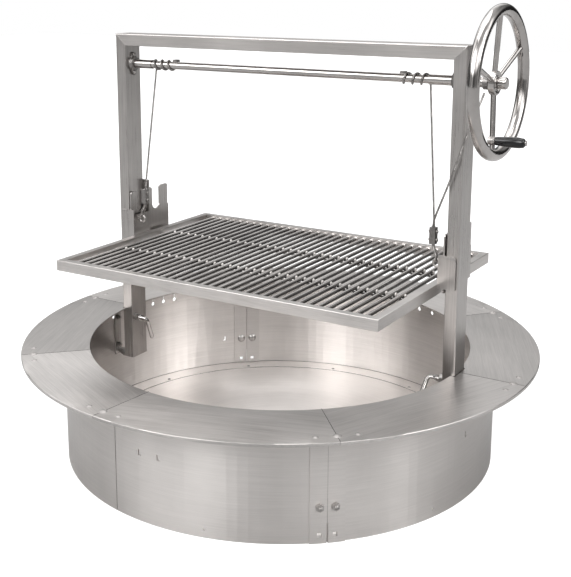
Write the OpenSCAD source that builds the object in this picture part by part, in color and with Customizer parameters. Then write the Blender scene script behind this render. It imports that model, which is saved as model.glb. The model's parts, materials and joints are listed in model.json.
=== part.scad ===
// Santa Maria grill: a round steel fire ring with a flat top flange, a frame of
// two posts and a beam that stands in it, and a cooking grate that hangs on two
// wire ropes and is raised and lowered by a hand wheel.
// Millimetres, +Z up, +X towards the hand wheel, +Y to the back.
// The origin is the ring's axis on the ground.

/* [Flange] */
// Outside diameter of the flat top flange
flange_d = 1066.8; // [900:0.2:1300]
// Width of the flange outside the wall
flange_reach_out = 86.4; // [70:0.2:110]
// Width of the flange inside the wall's outer face
flange_reach_in = 50.9; // [46:0.1:58]
// Height of the flange's top face over the ground
ring_h = 228; // [225:0.2:270]
// Thickness of the flange sheet
flange_t = 3; // [2:0.5:4]
// Height of the turned-down outer hem, sheet included
hem_h = 6; // [5:0.5:12]
// Width of the open line between two flange segments
segment_gap = 0.8; // [0.4:0.1:2]
// Width of the notch's clearance round a post
notch_clear = 1.6; // [0.5:0.1:4]
// Distance of the flange screws from the flange's edge
screw_inset = 24.4; // [21:0.2:32]
// Head diameter of the screw on a flange seam
seam_head_d = 16; // [10:0.5:18]
// Head diameter of the flange screws beside a seam
side_head_d = 11; // [8:0.5:14]
// Thread diameter of the flange screws
flange_screw_d = 6; // [4:0.5:8]
// Width of a splice plate under a seam, along the radius
splice_w = 34; // [24:1:40]
// Thickness of a splice plate
splice_t = 3; // [2:0.5:4]

/* [Ring wall] */
// Thickness of the wall sheet
wall_t = 2.5; // [1.5:0.5:4]
// Direction of the wall's front bolted joint, anticlockwise from +X
joint_deg = 312; // [305:1:320]
// Width of the strap over a wall joint
strap_w = 64; // [54:1:80]
// Thickness of the strap and of the backing strips
strap_t = 2.5; // [1.5:0.5:4]
// Depth of the slit in the strap's top end
slit_top = 14; // [8:1:30]
// Depth of the slit in the strap's bottom end
slit_low = 38; // [20:1:50]
// Distance between the two bolts of a wall joint
bolt_span = 28; // [22:1:34]
// Height of the wall joint's bolts
bolt_z = 70; // [55:1:120]
// Thread diameter of the wall bolts
bolt_d = 8; // [6:0.5:10]
// Side of the square holes at the wall's foot
square_hole = 8.5; // [6:0.5:10]
// Height of the centre of the holes at the wall's foot
foot_hole_z = 16; // [12:0.5:30]
// Depth of the low row of hook slits below the flange's top face
slit_low_drop = 94; // [60:1:120]
// Depth of the high row of keyhole slits below the flange's top face
slit_high_drop = 34; // [26:1:50]
// Direction of the butt seam in the left wall sheet
butt_deg = 259; // [250:1:264]

/* [Floor] */
// Width of the flat ledge round the floor pan
ledge_w = 39.5; // [30:0.5:60]
// Thickness of the floor sheets
floor_t = 1.6; // [1:0.1:2]
// Height of the pan's rolled rim over its bottom
pan_rise = 2.2; // [1:0.1:6]
// Number of screws round the pan
floor_screws_n = 12; // [8:1:24]

/* [Posts and beam] */
// Distance from the wall's outer face to the posts' outer faces
post_room = 44.1; // [38:0.1:56]
// Height of the beam's top face over the ground
frame_top = 849; // [840:1:900]
// Width of the rectangular tube, across the frame's front view
tube_w = 25.4; // [22:0.2:30]
// Depth of the rectangular tube, front to back
tube_d = 50.8; // [40:0.2:60]
// Wall of the rectangular tube
tube_t = 2; // [1.5:0.1:3]
// Height of the posts' lower ends
post_foot_z = 115; // [108:1:130]
// Thickness of the post bracket's plates
bracket_t = 3; // [2:0.5:5]
// Width of the bracket's plate on the wall
bracket_w = 20; // [16:1:30]
// Height of the post spigot over the bracket's foot plate
spigot_h = 140; // [120:1:180]
// Clearance round the spigot in its post
spigot_clear = 0.25; // [0.1:0.05:0.5]

/* [Winch] */
// Height of the winch shaft's axis
shaft_z = 784; // [775:1:790]
// Diameter of the shaft between the windings
drum_d = 16; // [14:0.5:18]
// Wall of the shaft tube
drum_t = 2; // [1.5:0.1:3]
// Diameter of the shaft's end sleeves
sleeve_d = 19.05; // [18.8:0.05:22]
// Radial clearance of the sleeves in their bearings
bearing_clear = 0.05; // [0.02:0.01:0.1]
// Height of the two-bolt bearing plates
bearing_h = 50; // [46:1:56]
// Thickness of the bearing plates
bearing_t = 4; // [3:0.5:6]
// Diameter of the wire ropes
rope_d = 4; // [3:0.5:5]
// Turns of rope on each end of the shaft
drum_turns = 3; // [2:1:4]
// Distance between neighbouring turns
drum_pitch = 18; // [12:1:20]
// Distance from the posts' inner faces at which the rope leaves the shaft
rope_inset = 58.5; // [50:0.5:70]

/* [Hand wheel] */
// Outside diameter of the hand wheel
wheel_d = 280; // [240:1:300]
// Diameter of the wheel rim's tube
rim_d = 22.3; // [18:0.1:26]
// Distance from the post's outer face to the rim's plane
wheel_out = 52.6; // [48:0.1:70]
// Distance by which the hub lies nearer to the post than the rim
wheel_dish = 9; // [4:0.5:12]
// Diameter of the wheel's spokes
spoke_d = 10; // [8:0.5:12]
// Diameter of the wheel's hub
hub_d = 44; // [36:1:56]
// Thickness of the wheel's hub
hub_t = 12; // [10:0.5:16]
// Diameter of the cap on the hub
cap_d = 22; // [20:0.5:30]
// Length of the cap on the hub
cap_l = 18; // [12:0.5:24]

/* [Crank handle] */
// Distance from the shaft's axis to the crank handle's axis
crank_r = 103.5; // [95:0.5:106]
// Length of the turning grip
grip_l = 54; // [46:1:66]
// Largest diameter of the grip
grip_d = 19.3; // [17:0.1:26]
// Diameter of the grip's root
grip_root_d = 14.7; // [13.5:0.1:16]
// Diameter of the spindle in the grip
spindle_d = 8; // [6:0.5:9]
// Radial clearance of the grip on its spindle
grip_clear = 0.08; // [0.03:0.01:0.1]

/* [Grate] */
// Depth of the grate, front to back
grate_d = 525; // [460:0.5:560]
// Distance by which the grate's centre lies in front of the posts
grate_ahead = 17; // [10:1:40]
// Height of the grate's top face at rest
grate_top = 404.6; // [396:0.2:430]
// Width of the grate frame's tube
rail_w = 15; // [12:0.5:20]
// Height of the grate frame's tube
rail_h = 22; // [18:0.5:26]
// Wall of the grate frame's tube
rail_t = 1.5; // [1:0.1:2]
// Diameter of the round grate bars
bar_d = 8; // [6:0.5:10]
// Number of grate bars
bars_n = 35; // [25:1:40]
// Depth of the bars' tops below the frame's top face
bar_drop = 3; // [1:0.5:5]
// Diameter of the two cross rods under the bars
cross_d = 8; // [6:0.5:9]

/* [Carriage] */
// Thickness of the notched cradle plates
cradle_t = 3; // [2:0.5:4]
// Height of the cradle plates' prongs over the grate's top face
cradle_h = 96; // [90:1:120]
// Width of the round-bottomed notches in the cradle plates
notch_w = 27; // [20:0.5:27]
// Depth of the front notch
notch_depth = 48; // [30:1:50]
// Sheet thickness of the post guides
guide_t = 3; // [2:0.5:4]
// Clearance of the guides' ears in front of and behind the post
guide_clear = 0.8; // [0.4:0.1:2]
// Clearance between the carriage and the posts' inner faces
side_clear = 0.9; // [0.5:0.1:2]
// Height of the guides' webs over the grate's top face
guide_rise = 45; // [40:1:46]
// Height of the guides' ears over their webs
ear_rise = 12; // [12:1:24]
// Reach of the guides' ears along the post's sides
ear_reach = 32.4; // [27:0.2:36]
// Height of the back ears over the cradle plates' prongs
back_ear_over = 21; // [12:1:30]
// Thread diameter of the eye bolts
eye_bolt_d = 6; // [5:0.5:6]
// Outside diameter of the eyes
eye_d = 19; // [18:0.5:22]
// Height of the eye bolts over the grate's top face
eye_up = 36; // [30:1:40]
// Height of the rope clips' feet over the eye bolts
clip_rise = 36; // [34:1:60]
// Height of a rope clip
clip_h = 32; // [26:1:38]
// Width of a rope clip
clip_w = 19; // [16:1:24]

/* [Post locks] */
// Diameter of the bent lock handle rods
lock_d = 9; // [7:0.5:10]
// Length of the lock handle's screw in front of the post
lock_reach = 33; // [28:1:38]
// Length of the hanging lever
lever_l = 50; // [36:1:56]
// Height of the left lock's screw
lock_z = 208; // [204:1:212]
// Tilt of the left lever from hanging, towards the back
lever_tilt_left = 20; // [0:1:60]
// Tilt of the right lever from hanging, towards the front
lever_tilt_right = 50; // [0:1:60]

/* [Hidden] */
$fn = 96;
ring_fn = 180;
eps = 0.01;

steel = "#c9c7c3";
dark_steel = "#8f8c88";
bright_steel = "#dedcd8";
black = "#1c1c1c";

// Directions of the flange's eight seams, anticlockwise from +X
seam_degs = [0, 50, 91, 132, 180, 225, 264, 312, 360];

flange_r = flange_d / 2;
flange_low = ring_h - flange_t;
flange_screw_r = flange_r - screw_inset;
wall_r = flange_r - flange_reach_out;
opening_r = wall_r - flange_reach_in;
wall_in = wall_r - wall_t;
// Running length of 1 mm on the wall, as an angle
wall_mm = 180 / (PI * wall_r);
// Angle between a seam's middle screw and its side screws
side_screw_deg = 4.1;

ledge_in = wall_in - ledge_w;
fit_gap = 0.3;
pan_lap = 18;
pan_rim_z = pan_rise;
ledge_z = pan_rim_z + floor_t;

post_out = wall_r - post_room;
frame_w = 2 * post_out;
post_in = post_out - tube_w;
post_x = post_out - tube_w / 2;
tube_hd = tube_d / 2;
beam_low = frame_top - tube_w;
// Distance from the axis of a flat plate's face that touches the round wall inside
function inside_wall(w) = sqrt(wall_in * wall_in - w * w / 4);

sleeve_r = sleeve_d / 2;
drum_r = drum_d / 2;
rope_r = rope_d / 2;
rope_gap = 0.1;
drum_rope_r = drum_r + rope_r + rope_gap;
rope_off_x = post_in - rope_inset;
bearing_boss_d = 29;
bearing_boss_h = 8;
bearing_bore = sleeve_d + 2 * bearing_clear;
bearing_screw_edge = 6;
bearing_screw_head_d = 8.4;
bearing_bolt_span = bearing_h - 2 * bearing_screw_edge;
outer_bearing_h = bearing_h - 7;

rim_x = post_out + wheel_out;
hub_x = rim_x - wheel_dish;
hub_in_x = hub_x - hub_t / 2;
hub_out_x = hub_x + hub_t / 2;
rim_r = (wheel_d - rim_d) / 2;
// Directions of the four spokes, from straight up towards the back
spoke_degs = [-5, 62, 190, 287.5];
crank_deg = 194.6;
crank_y = crank_r * sin(crank_deg);
crank_z = shaft_z + crank_r * cos(crank_deg);
lug_out_x = rim_x + 5;
grip_x = lug_out_x + 1.5;
grip_end_x = grip_x + grip_l;

// Stack from the post inwards: eye bolt's end, cradle plate, nut, guide's web, grate
bolt_end = 2;
eye_nut_t = 6;
cradle_out = post_in - side_clear - bolt_end;
cradle_in = cradle_out - cradle_t;
guide_out = cradle_in - eye_nut_t;
rail_out = guide_out - guide_t;
rail_in = rail_out - rail_w;
grate_front = -grate_ahead - grate_d / 2;
grate_back = -grate_ahead + grate_d / 2;
rail_low = grate_top - rail_h;
bar_z = grate_top - bar_drop - bar_d / 2;
cross_z = bar_z - bar_d / 2 - cross_d / 2;

cradle_low = rail_low + 4;
cradle_top = grate_top + cradle_h;
guide_low = grate_top - 8;
guide_top = grate_top + guide_rise;
ear_top = guide_top + ear_rise;
ear_y = tube_hd + guide_clear;
back_ear_top = cradle_top + back_ear_over;
cradle_front = -ear_y;

eye_y = -10;
eye_z = grate_top + eye_up;
eye_wire = 5;
eye_ring_r = (eye_d - eye_wire) / 2;
eye_x = rail_out - 9.6;
clip_x = eye_x - 9;
clip_z = eye_z + clip_rise;
clip_top = clip_z + clip_h;
strand_off = rope_r + 0.2;

lock_y = -14;
lock_z_right = lock_z + 5;
lock_nut_t = 8;
lock_nut_af = 16;
lock_thread_d = 8;
lock_bend_r = 8;

// A circle's points in its own plane, for the swept ropes
rope_sides = 8;
winding_sides = 6;
winding_rings = 24;

// Helpers

// Puts a child on the left side as the mirror image of the right one
module on_side(s) {
    mirror([s < 0 ? 1 : 0, 0, 0]) children();
}

// Rectangle with round corners, centred
module round_rect(w, h, r) {
    square([w - 2 * r, h], center = true);
    square([w, h - 2 * r], center = true);
    for (x = [-1, 1], y = [-1, 1])
        translate([x * (w / 2 - r), y * (h / 2 - r)]) circle(r);
}

// Round arc of a profile that is drawn in x = radius, y = height
module arc(from_deg, to_deg) {
    rotate([0, 0, from_deg]) rotate_extrude(angle = to_deg - from_deg, $fn = ring_fn) children();
}

// Part of a cylinder whose axis points outwards through the wall
module radial(deg, r, z) {
    rotate([0, 0, deg]) translate([r, 0, z]) rotate([0, 90, 0]) children();
}

// Cylinder along X between two places
module along_x(x0, x1, d, y = 0, z = 0) {
    translate([x0, y, z]) rotate([0, 90, 0]) cylinder(d = d, h = x1 - x0);
}

// Hexagonal nut with its axis along Z and a plain bore
module hex_nut(af, t, bore) {
    difference() {
        cylinder(d = af / cos(30), h = t, $fn = 6);
        translate([0, 0, -eps]) cylinder(d = bore, h = t + 2 * eps);
    }
}

// Low domed screw head on the plane z = 0
module dome_head(d, h) {
    ball_r = (d * d / 4 + h * h) / (2 * h);
    intersection() {
        translate([0, 0, h - ball_r]) sphere(ball_r);
        cylinder(d = d, h = h);
    }
}

// Tube with round section along a list of points, with flat ends
function unit(v) = v / norm(v);
function tangent(p, i) =
    unit(p[min(i + 1, len(p) - 1)] - p[max(i - 1, 0)]);
function carried(n, t) = unit(n - (n * t) * t);
function frames(p, i, n) =
    i == len(p) ? [] : let (m = carried(n, tangent(p, i))) concat([m], frames(p, i + 1, m));
function start_normal(t) = carried(abs(t.x) > 0.9 ? [0, 0, 1] : [1, 0, 0], t);

module swept_tube(p, r, sides) {
    n = len(p);
    up = frames(p, 0, start_normal(tangent(p, 0)));
    rings = [
        for (i = [0:n - 1], k = [0:sides - 1])
            let (t = tangent(p, i), a = 360 * k / sides)
                p[i] + r * (cos(a) * up[i] + sin(a) * cross(t, up[i]))
    ];
    side_faces = [
        for (i = [0:n - 2], k = [0:sides - 1], h = [0, 1])
            let (a = i * sides + k, b = i * sides + (k + 1) % sides, c = a + sides, d = b + sides)
                h == 0 ? [a, c, d] : [a, d, b]
    ];
    first_cap = [for (k = [1:sides - 2]) [0, k, k + 1]];
    last = (n - 1) * sides;
    last_cap = [for (k = [1:sides - 2]) [last, last + k + 1, last + k]];
    polyhedron(points = rings, faces = concat(side_faces, first_cap, last_cap));
}

// Straight run from one point to another, in equal steps
function run(a, b, steps) = [for (i = [0:steps]) a + (b - a) * i / steps];

// Ring wall

module wall_holes() {
    // Square holes at the foot and round bolt holes beside both joints
    for (j = [joint_deg, joint_deg - 180], s = [-1, 1]) {
        a = j + s * bolt_span / 2 * wall_mm;
        radial(a, wall_in - 5, bolt_z) cylinder(d = bolt_d + 0.4, h = 12);
        radial(a, wall_in - 5, foot_hole_z)
            translate([0, 0, 6]) cube([square_hole, square_hole, 12], center = true);
    }
    // Small round holes near the foot
    for (a = [284, 340.4, 233])
        radial(a, wall_in - 5, foot_hole_z) cylinder(d = 5, h = 12);
    for (a = hook_degs) hook_slit(a, ring_h - slit_low_drop);
    hook_slit(back_hook_deg, back_hook_z);
    for (a = keyhole_degs) keyhole_slit(a, ring_h - slit_high_drop);
}

// Directions of the low hook slits and of the high keyhole slits
hook_degs = [266.8, 272.2, 352.2];
back_hook_deg = 139.2;
back_hook_z = 72;
keyhole_degs = [67.3, 72.6, 77.9, 156.7, 160.7, 164.7, 181.5, 186.8, 191.5];
slit_w = 2.4;

// Narrow upright slit with a short level foot
module hook_slit(deg, z) {
    slit_h = 11;
    foot_l = 6.5;
    radial(deg, wall_in - 5, z) {
        translate([-slit_h / 2, -slit_w / 2, 0]) cube([slit_h, slit_w, 12]);
        translate([slit_h / 2 - slit_w, -slit_w / 2, 0]) cube([slit_w, foot_l, 12]);
    }
}

// Narrow upright slit that ends below in a round hole
module keyhole_slit(deg, z) {
    slit_h = 15;
    hole_d = 9;
    radial(deg, wall_in - 5, z) {
        translate([-slit_h, -slit_w / 2, 0]) cube([slit_h, slit_w, 12]);
        cylinder(d = hole_d, h = 12);
    }
}

module wall_half(from_deg) {
    half_gap = 0.4 * wall_mm;
    difference() {
        arc(from_deg + half_gap, from_deg + 180 - half_gap)
            translate([wall_in, 0]) square([wall_t, flange_low]);
        wall_holes();
    }
}

// The left sheet is butt-welded once: a fine groove runs up its outer face
module wall_half_left() {
    groove_w = 1.6;
    groove_t = 0.9;
    color(steel) difference() {
        wall_half(joint_deg - 180);
        rotate([0, 0, butt_deg]) translate([wall_r - groove_t, -groove_w / 2, -1])
            cube([5, groove_w, ring_h]);
    }
}

module wall_half_right() {
    color(steel) wall_half(joint_deg);
}

// Strap that covers a joint outside, slit at both ends along the seam
module joint_strap(j) {
    half = strap_w / 2 * wall_mm;
    end_slit_w = 3;
    difference() {
        arc(j - half, j + half) translate([wall_r, 0]) square([strap_t, flange_low - 1]);
        for (s = [-1, 1]) {
            a = j + s * bolt_span / 2 * wall_mm;
            radial(a, wall_r - 2, bolt_z) cylinder(d = bolt_d + 0.4, h = 10);
            radial(a, wall_r - 2, foot_hole_z)
                translate([0, 0, 4]) cube([square_hole, square_hole, 14], center = true);
        }
        rotate([0, 0, j]) translate([wall_r - 2, -end_slit_w / 2, -1]) cube([10, end_slit_w, slit_low + 1]);
        rotate([0, 0, j]) translate([wall_r - 2, -end_slit_w / 2, flange_low - slit_top - 1])
            cube([10, end_slit_w, slit_top + 2]);
    }
}

module joint_straps() {
    color(steel) for (j = [joint_deg, joint_deg - 180]) joint_strap(j);
}

// Two strips inside the wall, one on each side of the seam
module joint_backing_strips() {
    half = strap_w / 2 * wall_mm;
    split = 0.6 * wall_mm;
    color(steel) for (j = [joint_deg, joint_deg - 180], s = [0, 1]) difference() {
        arc(j - half + s * (half + split), j - split + s * (half + split))
            translate([wall_in - strap_t, ledge_z + floor_t + 1])
                square([strap_t, flange_low - ledge_z - floor_t - 1]);
        wall_holes();
    }
}

// Carriage bolts: domed heads inside, threads outwards through strip, wall and strap
bolt_head_d = 19;
bolt_seat_r = sqrt(pow(wall_in - strap_t, 2) - pow(bolt_head_d / 2, 2));
bolt_end_r = wall_r + strap_t + 9;
nut_seat_r = wall_r + strap_t + 0.05;
wall_nut_t = 6.5;

module joint_bolts() {
    color(bright_steel)
        for (j = [joint_deg, joint_deg - 180], s = [-1, 1])
            radial(j + s * bolt_span / 2 * wall_mm, bolt_seat_r, bolt_z) {
                cylinder(d = bolt_d, h = bolt_end_r - bolt_seat_r);
                mirror([0, 0, 1]) dome_head(bolt_head_d, 4.4);
            }
}

module joint_nuts() {
    color(dark_steel)
        for (j = [joint_deg, joint_deg - 180], s = [-1, 1])
            radial(j + s * bolt_span / 2 * wall_mm, nut_seat_r, bolt_z)
                hex_nut(13, wall_nut_t, bolt_d + 0.1);
}

// Flange

module flange_sector(i) {
    half_gap = segment_gap / 2 * 180 / (PI * flange_r);
    difference() {
        arc(seam_degs[i] + half_gap, seam_degs[i + 1] - half_gap)
            polygon([
                [opening_r, flange_low], [flange_r - flange_t, flange_low],
                [flange_r - flange_t, ring_h - hem_h], [flange_r, ring_h - hem_h],
                [flange_r, ring_h - 1], [flange_r - 1, ring_h], [opening_r, ring_h]
            ]);
        for (s = [-1, 1])
            translate([s * post_x, 0, ring_h])
                cube([tube_w + 2 * notch_clear, tube_d + 2 * notch_clear, 4 * flange_t], center = true);
        flange_screw_holes();
    }
}

module at_flange_screws() {
    for (i = [0:7], k = [-1, 0, 1])
        rotate([0, 0, seam_degs[i] + k * side_screw_deg])
            translate([flange_screw_r, 0, 0]) {
                if (k == 0) children(0);
                else children(1);
            }
}

module flange_screw_holes() {
    below = 2 * hem_h + splice_t;
    at_flange_screws() {
        translate([0, 0, ring_h - below]) cylinder(d = flange_screw_d + 0.4, h = 2 * below);
        translate([0, 0, ring_h - below]) cylinder(d = flange_screw_d + 0.4, h = 2 * below);
    }
}

module flange_segment_1() { color(steel) flange_sector(0); }
module flange_segment_2() { color(steel) flange_sector(1); }
module flange_segment_3() { color(steel) flange_sector(2); }
module flange_segment_4() { color(steel) flange_sector(3); }
module flange_segment_5() { color(steel) flange_sector(4); }
module flange_segment_6() { color(steel) flange_sector(5); }
module flange_segment_7() { color(steel) flange_sector(6); }
module flange_segment_8() { color(steel) flange_sector(7); }

// Curved plates that tie neighbouring segments together from below
module flange_splices() {
    lap_deg = side_screw_deg + 1.3;
    color(dark_steel) for (i = [0:7]) difference() {
        arc(seam_degs[i] - lap_deg, seam_degs[i] + lap_deg)
            translate([flange_screw_r - splice_w / 2, flange_low - splice_t]) square([splice_w, splice_t]);
        flange_screw_holes();
    }
}

// Domed screws that run down through flange and splice
module flange_screw(head) {
    shank = flange_t + splice_t + 4;
    translate([0, 0, ring_h]) dome_head(head, head * 0.16);
    translate([0, 0, ring_h - shank]) cylinder(d = flange_screw_d, h = shank);
}

module flange_screws() {
    color(bright_steel) at_flange_screws() {
        flange_screw(seam_head_d);
        flange_screw(side_head_d);
    }
}

// Floor

// Flat ledge with a skirt that stands on the ground inside the wall
module floor_ledge() {
    color(steel) difference() {
        rotate_extrude($fn = ring_fn)
            polygon([
                [ledge_in, ledge_z], [wall_in - fit_gap - floor_t, ledge_z],
                [wall_in - fit_gap - floor_t, 0], [wall_in - fit_gap, 0],
                [wall_in - fit_gap, ledge_z + floor_t], [ledge_in, ledge_z + floor_t]
            ]);
        at_floor_screws() cylinder(d = floor_screw_d + 0.2, h = 20);
        foot_bores();
    }
}

// Room for the hardware that stands through the wall's foot
module foot_bores() {
    for (j = [joint_deg, joint_deg - 180], s = [-1, 1])
        radial(j + s * bolt_span / 2 * wall_mm, wall_in - 12, foot_hole_z)
            translate([0, 0, 6]) cube([square_hole, square_hole, 3.5 * square_hole], center = true);
}

floor_screw_d = 4;
floor_screw_r = ledge_in + 7;

module at_floor_screws() {
    for (i = [0:floor_screws_n - 1])
        rotate([0, 0, 12 + 360 * i / floor_screws_n]) translate([floor_screw_r, 0, 0]) children();
}

// Shallow spun pan: flat bottom on the ground, rim rolled up under the ledge
module floor_pan() {
    bend_in = ledge_in - 12;
    color(bright_steel) difference() {
        rotate_extrude($fn = ring_fn)
            polygon([
                [0, 0], [bend_in, 0], [bend_in + 8, pan_rim_z], [ledge_in + pan_lap, pan_rim_z],
                [ledge_in + pan_lap, ledge_z], [bend_in + 7.4, ledge_z],
                [bend_in - 0.6, floor_t], [0, floor_t]
            ]);
        at_floor_screws() cylinder(d = floor_screw_d + 0.2, h = 20);
    }
}

module floor_screws() {
    color(dark_steel) at_floor_screws() {
        translate([0, 0, ledge_z + floor_t]) dome_head(8, 2.2);
        translate([0, 0, 0.4]) cylinder(d = floor_screw_d, h = ledge_z + floor_t - 0.4);
    }
}

// Post brackets

bracket_x = inside_wall(bracket_w);
bracket_low = post_foot_z - bracket_t - 9;
bracket_top = flange_low - 18.4;
stud_zs = [post_foot_z + 10.5, bracket_top - 15];
stud_d = 6;

// Wall plate, foot plate under the post and the spigot that stands in the post
module post_bracket() {
    spigot_w = tube_w - 2 * tube_t - 2 * spigot_clear;
    spigot_d = tube_d - 2 * tube_t - 2 * spigot_clear;
    foot_in = post_in;
    difference() {
        union() {
            translate([bracket_x - bracket_t, -bracket_w / 2, bracket_low])
                cube([bracket_t, bracket_w, bracket_top - bracket_low]);
            translate([0, 0, post_foot_z - bracket_t]) linear_extrude(bracket_t) polygon([
                [foot_in, -tube_hd], [post_out + 4, -tube_hd], [bracket_x - 8, -bracket_w / 2],
                [bracket_x - bracket_t + eps, -bracket_w / 2], [bracket_x - bracket_t + eps, bracket_w / 2],
                [bracket_x - 8, bracket_w / 2], [post_out + 4, tube_hd], [foot_in, tube_hd]
            ]);
            translate([post_x, 0, post_foot_z - eps]) linear_extrude(spigot_h) difference() {
                round_rect(spigot_w, spigot_d, 2);
                round_rect(spigot_w - 6, spigot_d - 6, 1);
            }
        }
        for (z = stud_zs) along_x(bracket_x - 10, bracket_x + 4, stud_d + 0.4, 0, z);
    }
}

module post_bracket_left() { color(steel) on_side(-1) post_bracket(); }
module post_bracket_right() { color(steel) on_side(1) post_bracket(); }

// Studs that stand on the wall's inner face and hold the brackets
module bracket_studs() {
    stud_root = wall_in - 0.02;
    color(bright_steel) for (s = [-1, 1], z = stud_zs) on_side(s)
        along_x(bracket_x - bracket_t - 8, stud_root, stud_d, 0, z);
}

module bracket_nuts() {
    color(dark_steel) for (s = [-1, 1], z = stud_zs) on_side(s)
        translate([bracket_x - bracket_t, 0, z]) rotate([0, -90, 0]) hex_nut(10, 5, stud_d + 0.1);
}

// Posts and beam

module tube_section() {
    difference() {
        round_rect(tube_w, tube_d, 2);
        round_rect(tube_w - 2 * tube_t, tube_d - 2 * tube_t, 1);
    }
}

// Post of rectangular tube, mitred at the top, bored for the shaft and the lock
module post(through, lz) {
    difference() {
        intersection() {
            translate([post_x, 0, post_foot_z]) linear_extrude(frame_top - post_foot_z) tube_section();
            translate([0, tube_d, 0]) rotate([90, 0, 0]) linear_extrude(2 * tube_d) polygon([
                [post_in, post_foot_z], [post_out, post_foot_z], [post_out, frame_top], [post_in, beam_low]
            ]);
        }
        along_x(post_in - 1, through ? post_out + 1 : post_x, sleeve_d + 2, 0, shaft_z);
        along_x(post_in - 1, post_x, lock_thread_d + 0.4, lock_y, lz);
    }
}

module post_left() { color(steel) on_side(-1) post(false, lock_z); }
module post_right() { color(steel) on_side(1) post(true, lock_z_right); }

module crossbeam() {
    color(steel) intersection() {
        translate([-post_out, 0, frame_top - tube_w / 2]) rotate([0, 90, 0])
            linear_extrude(frame_w) tube_section();
        translate([0, tube_d, 0]) rotate([90, 0, 0]) linear_extrude(2 * tube_d) polygon([
            [-post_out, frame_top], [post_out, frame_top],
            [post_in, beam_low], [-post_in, beam_low]
        ]);
    }
}

// Nuts on the posts' inner faces that the lock screws run through
module lock_nuts() {
    color(dark_steel) for (s = [-1, 1]) on_side(s)
        translate([post_in, lock_y, s < 0 ? lock_z : lock_z_right]) rotate([0, -90, 0])
            hex_nut(lock_nut_af, lock_nut_t, lock_thread_d + 0.1);
}

// Bearings

// Two-bolt bearing plate on the plane x = 0, its boss towards +X
module bearing_plate(h, boss_h) {
    end_r = 7;
    span = h / 2 - end_r;
    mid_r = bearing_boss_d / 2 + 1.5;
    difference() {
        rotate([90, 0, 90]) union() {
            linear_extrude(bearing_t) {
                circle(mid_r);
                for (s = [-1, 1]) translate([0, s * span]) circle(end_r);
                polygon([
                    [mid_r - 0.5, 0], [end_r - 0.3, span], [0.3 - end_r, span],
                    [0.5 - mid_r, 0], [0.3 - end_r, -span], [end_r - 0.3, -span]
                ]);
            }
            cylinder(d = bearing_boss_d, h = boss_h);
        }
        along_x(-1, boss_h + 1, bearing_bore);
        for (s = [-1, 1]) along_x(-1, bearing_t + 1, bearing_screw_d + 0.4, 0, s * bearing_bolt_span / 2);
    }
}

bearing_screw_d = 5;

module bearing_left() {
    color(dark_steel) on_side(-1) translate([post_in, 0, shaft_z]) mirror([1, 0, 0])
        bearing_plate(bearing_h, bearing_boss_h);
}

module bearing_right() {
    color(dark_steel) translate([post_in, 0, shaft_z]) mirror([1, 0, 0])
        bearing_plate(bearing_h, bearing_boss_h);
}

module bearing_outer() {
    color(dark_steel) translate([post_out, 0, shaft_z]) bearing_plate(bearing_h, bearing_boss_h);
}

// Screws at the bearing plates' ends, with their tips in the post's wall
module bearing_screws() {
    color(bright_steel) for (z = [-1, 1]) {
        for (s = [-1, 1]) on_side(s)
            translate([post_in - bearing_t, 0, shaft_z + z * bearing_bolt_span / 2]) rotate([0, -90, 0])
                bearing_screw();
        translate([post_out + bearing_t, 0, shaft_z + z * bearing_bolt_span / 2]) rotate([0, 90, 0])
            bearing_screw();
    }
}

module bearing_screw() {
    dome_head(bearing_screw_head_d, 3);
    translate([0, 0, -bearing_t]) cylinder(d = bearing_screw_d, h = bearing_t);
}

// Winch shaft

sleeve_in_x = rope_off_x + rope_r + 1;
// Length of the winch tube's ends inside the sleeves
winch_lap = 20;

module winch_tube() {
    color(bright_steel) difference() {
        along_x(-sleeve_in_x - winch_lap, sleeve_in_x + winch_lap, drum_d, 0, shaft_z);
        along_x(-sleeve_in_x - winch_lap - 1, sleeve_in_x + winch_lap + 1, drum_d - 2 * drum_t, 0, shaft_z);
    }
}

// End sleeve, bored at its inner end for the winch tube
module shaft_sleeve(out_x) {
    difference() {
        along_x(sleeve_in_x, out_x, sleeve_d, 0, shaft_z);
        along_x(sleeve_in_x - 1, sleeve_in_x + winch_lap + 0.5, drum_d + 0.04, 0, shaft_z);
    }
}

module shaft_sleeve_left() {
    color(bright_steel) on_side(-1) shaft_sleeve(post_out - tube_t - 2);
}

module shaft_sleeve_right() {
    color(bright_steel) shaft_sleeve(hub_out_x);
}

// Stop collar on the shaft's outer stub, which also holds the rope's free end
collar_d = 26;
collar_w = 9;
collar_x = hub_in_x - 4 - collar_w;

module shaft_collar() {
    color(dark_steel) difference() {
        along_x(collar_x, collar_x + collar_w, collar_d, 0, shaft_z);
        along_x(collar_x - 1, collar_x + collar_w + 1, sleeve_d + 0.04, 0, shaft_z);
    }
}

// Rope windings: three open turns on each end of the shaft

// Point on the shaft's helix; turn 0 is where the rope leaves, at the back
function on_drum(turn) = [
    rope_off_x - turn * drum_pitch,
    drum_rope_r * cos(360 * turn),
    shaft_z + drum_rope_r * sin(360 * turn)
];
// The rope's straight run from the winding to the clip starts with a lead of one diameter
lift_knee = [clip_x, eye_y + strand_off, clip_top + rope_d];
lift_top = on_drum(0) + rope_d * unit(lift_knee - on_drum(0));
winding_path = concat(
    [lift_top],
    [for (i = [0:drum_turns * winding_rings]) on_drum(i / winding_rings)],
    [on_drum(drum_turns) + [0, 0, rope_d]]
);
winding_gap = min([
    for (i = [0:len(winding_path) - winding_rings / 2 - 1], j = [i + winding_rings / 2:len(winding_path) - 1])
        norm(winding_path[i] - winding_path[j])
]) - rope_d;
echo(winding_gap = winding_gap);
echo(lift_top_z = lift_top.z);

module rope_winding_left() {
    color(bright_steel) on_side(-1) swept_tube(winding_path, rope_r, winding_sides);
}

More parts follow.
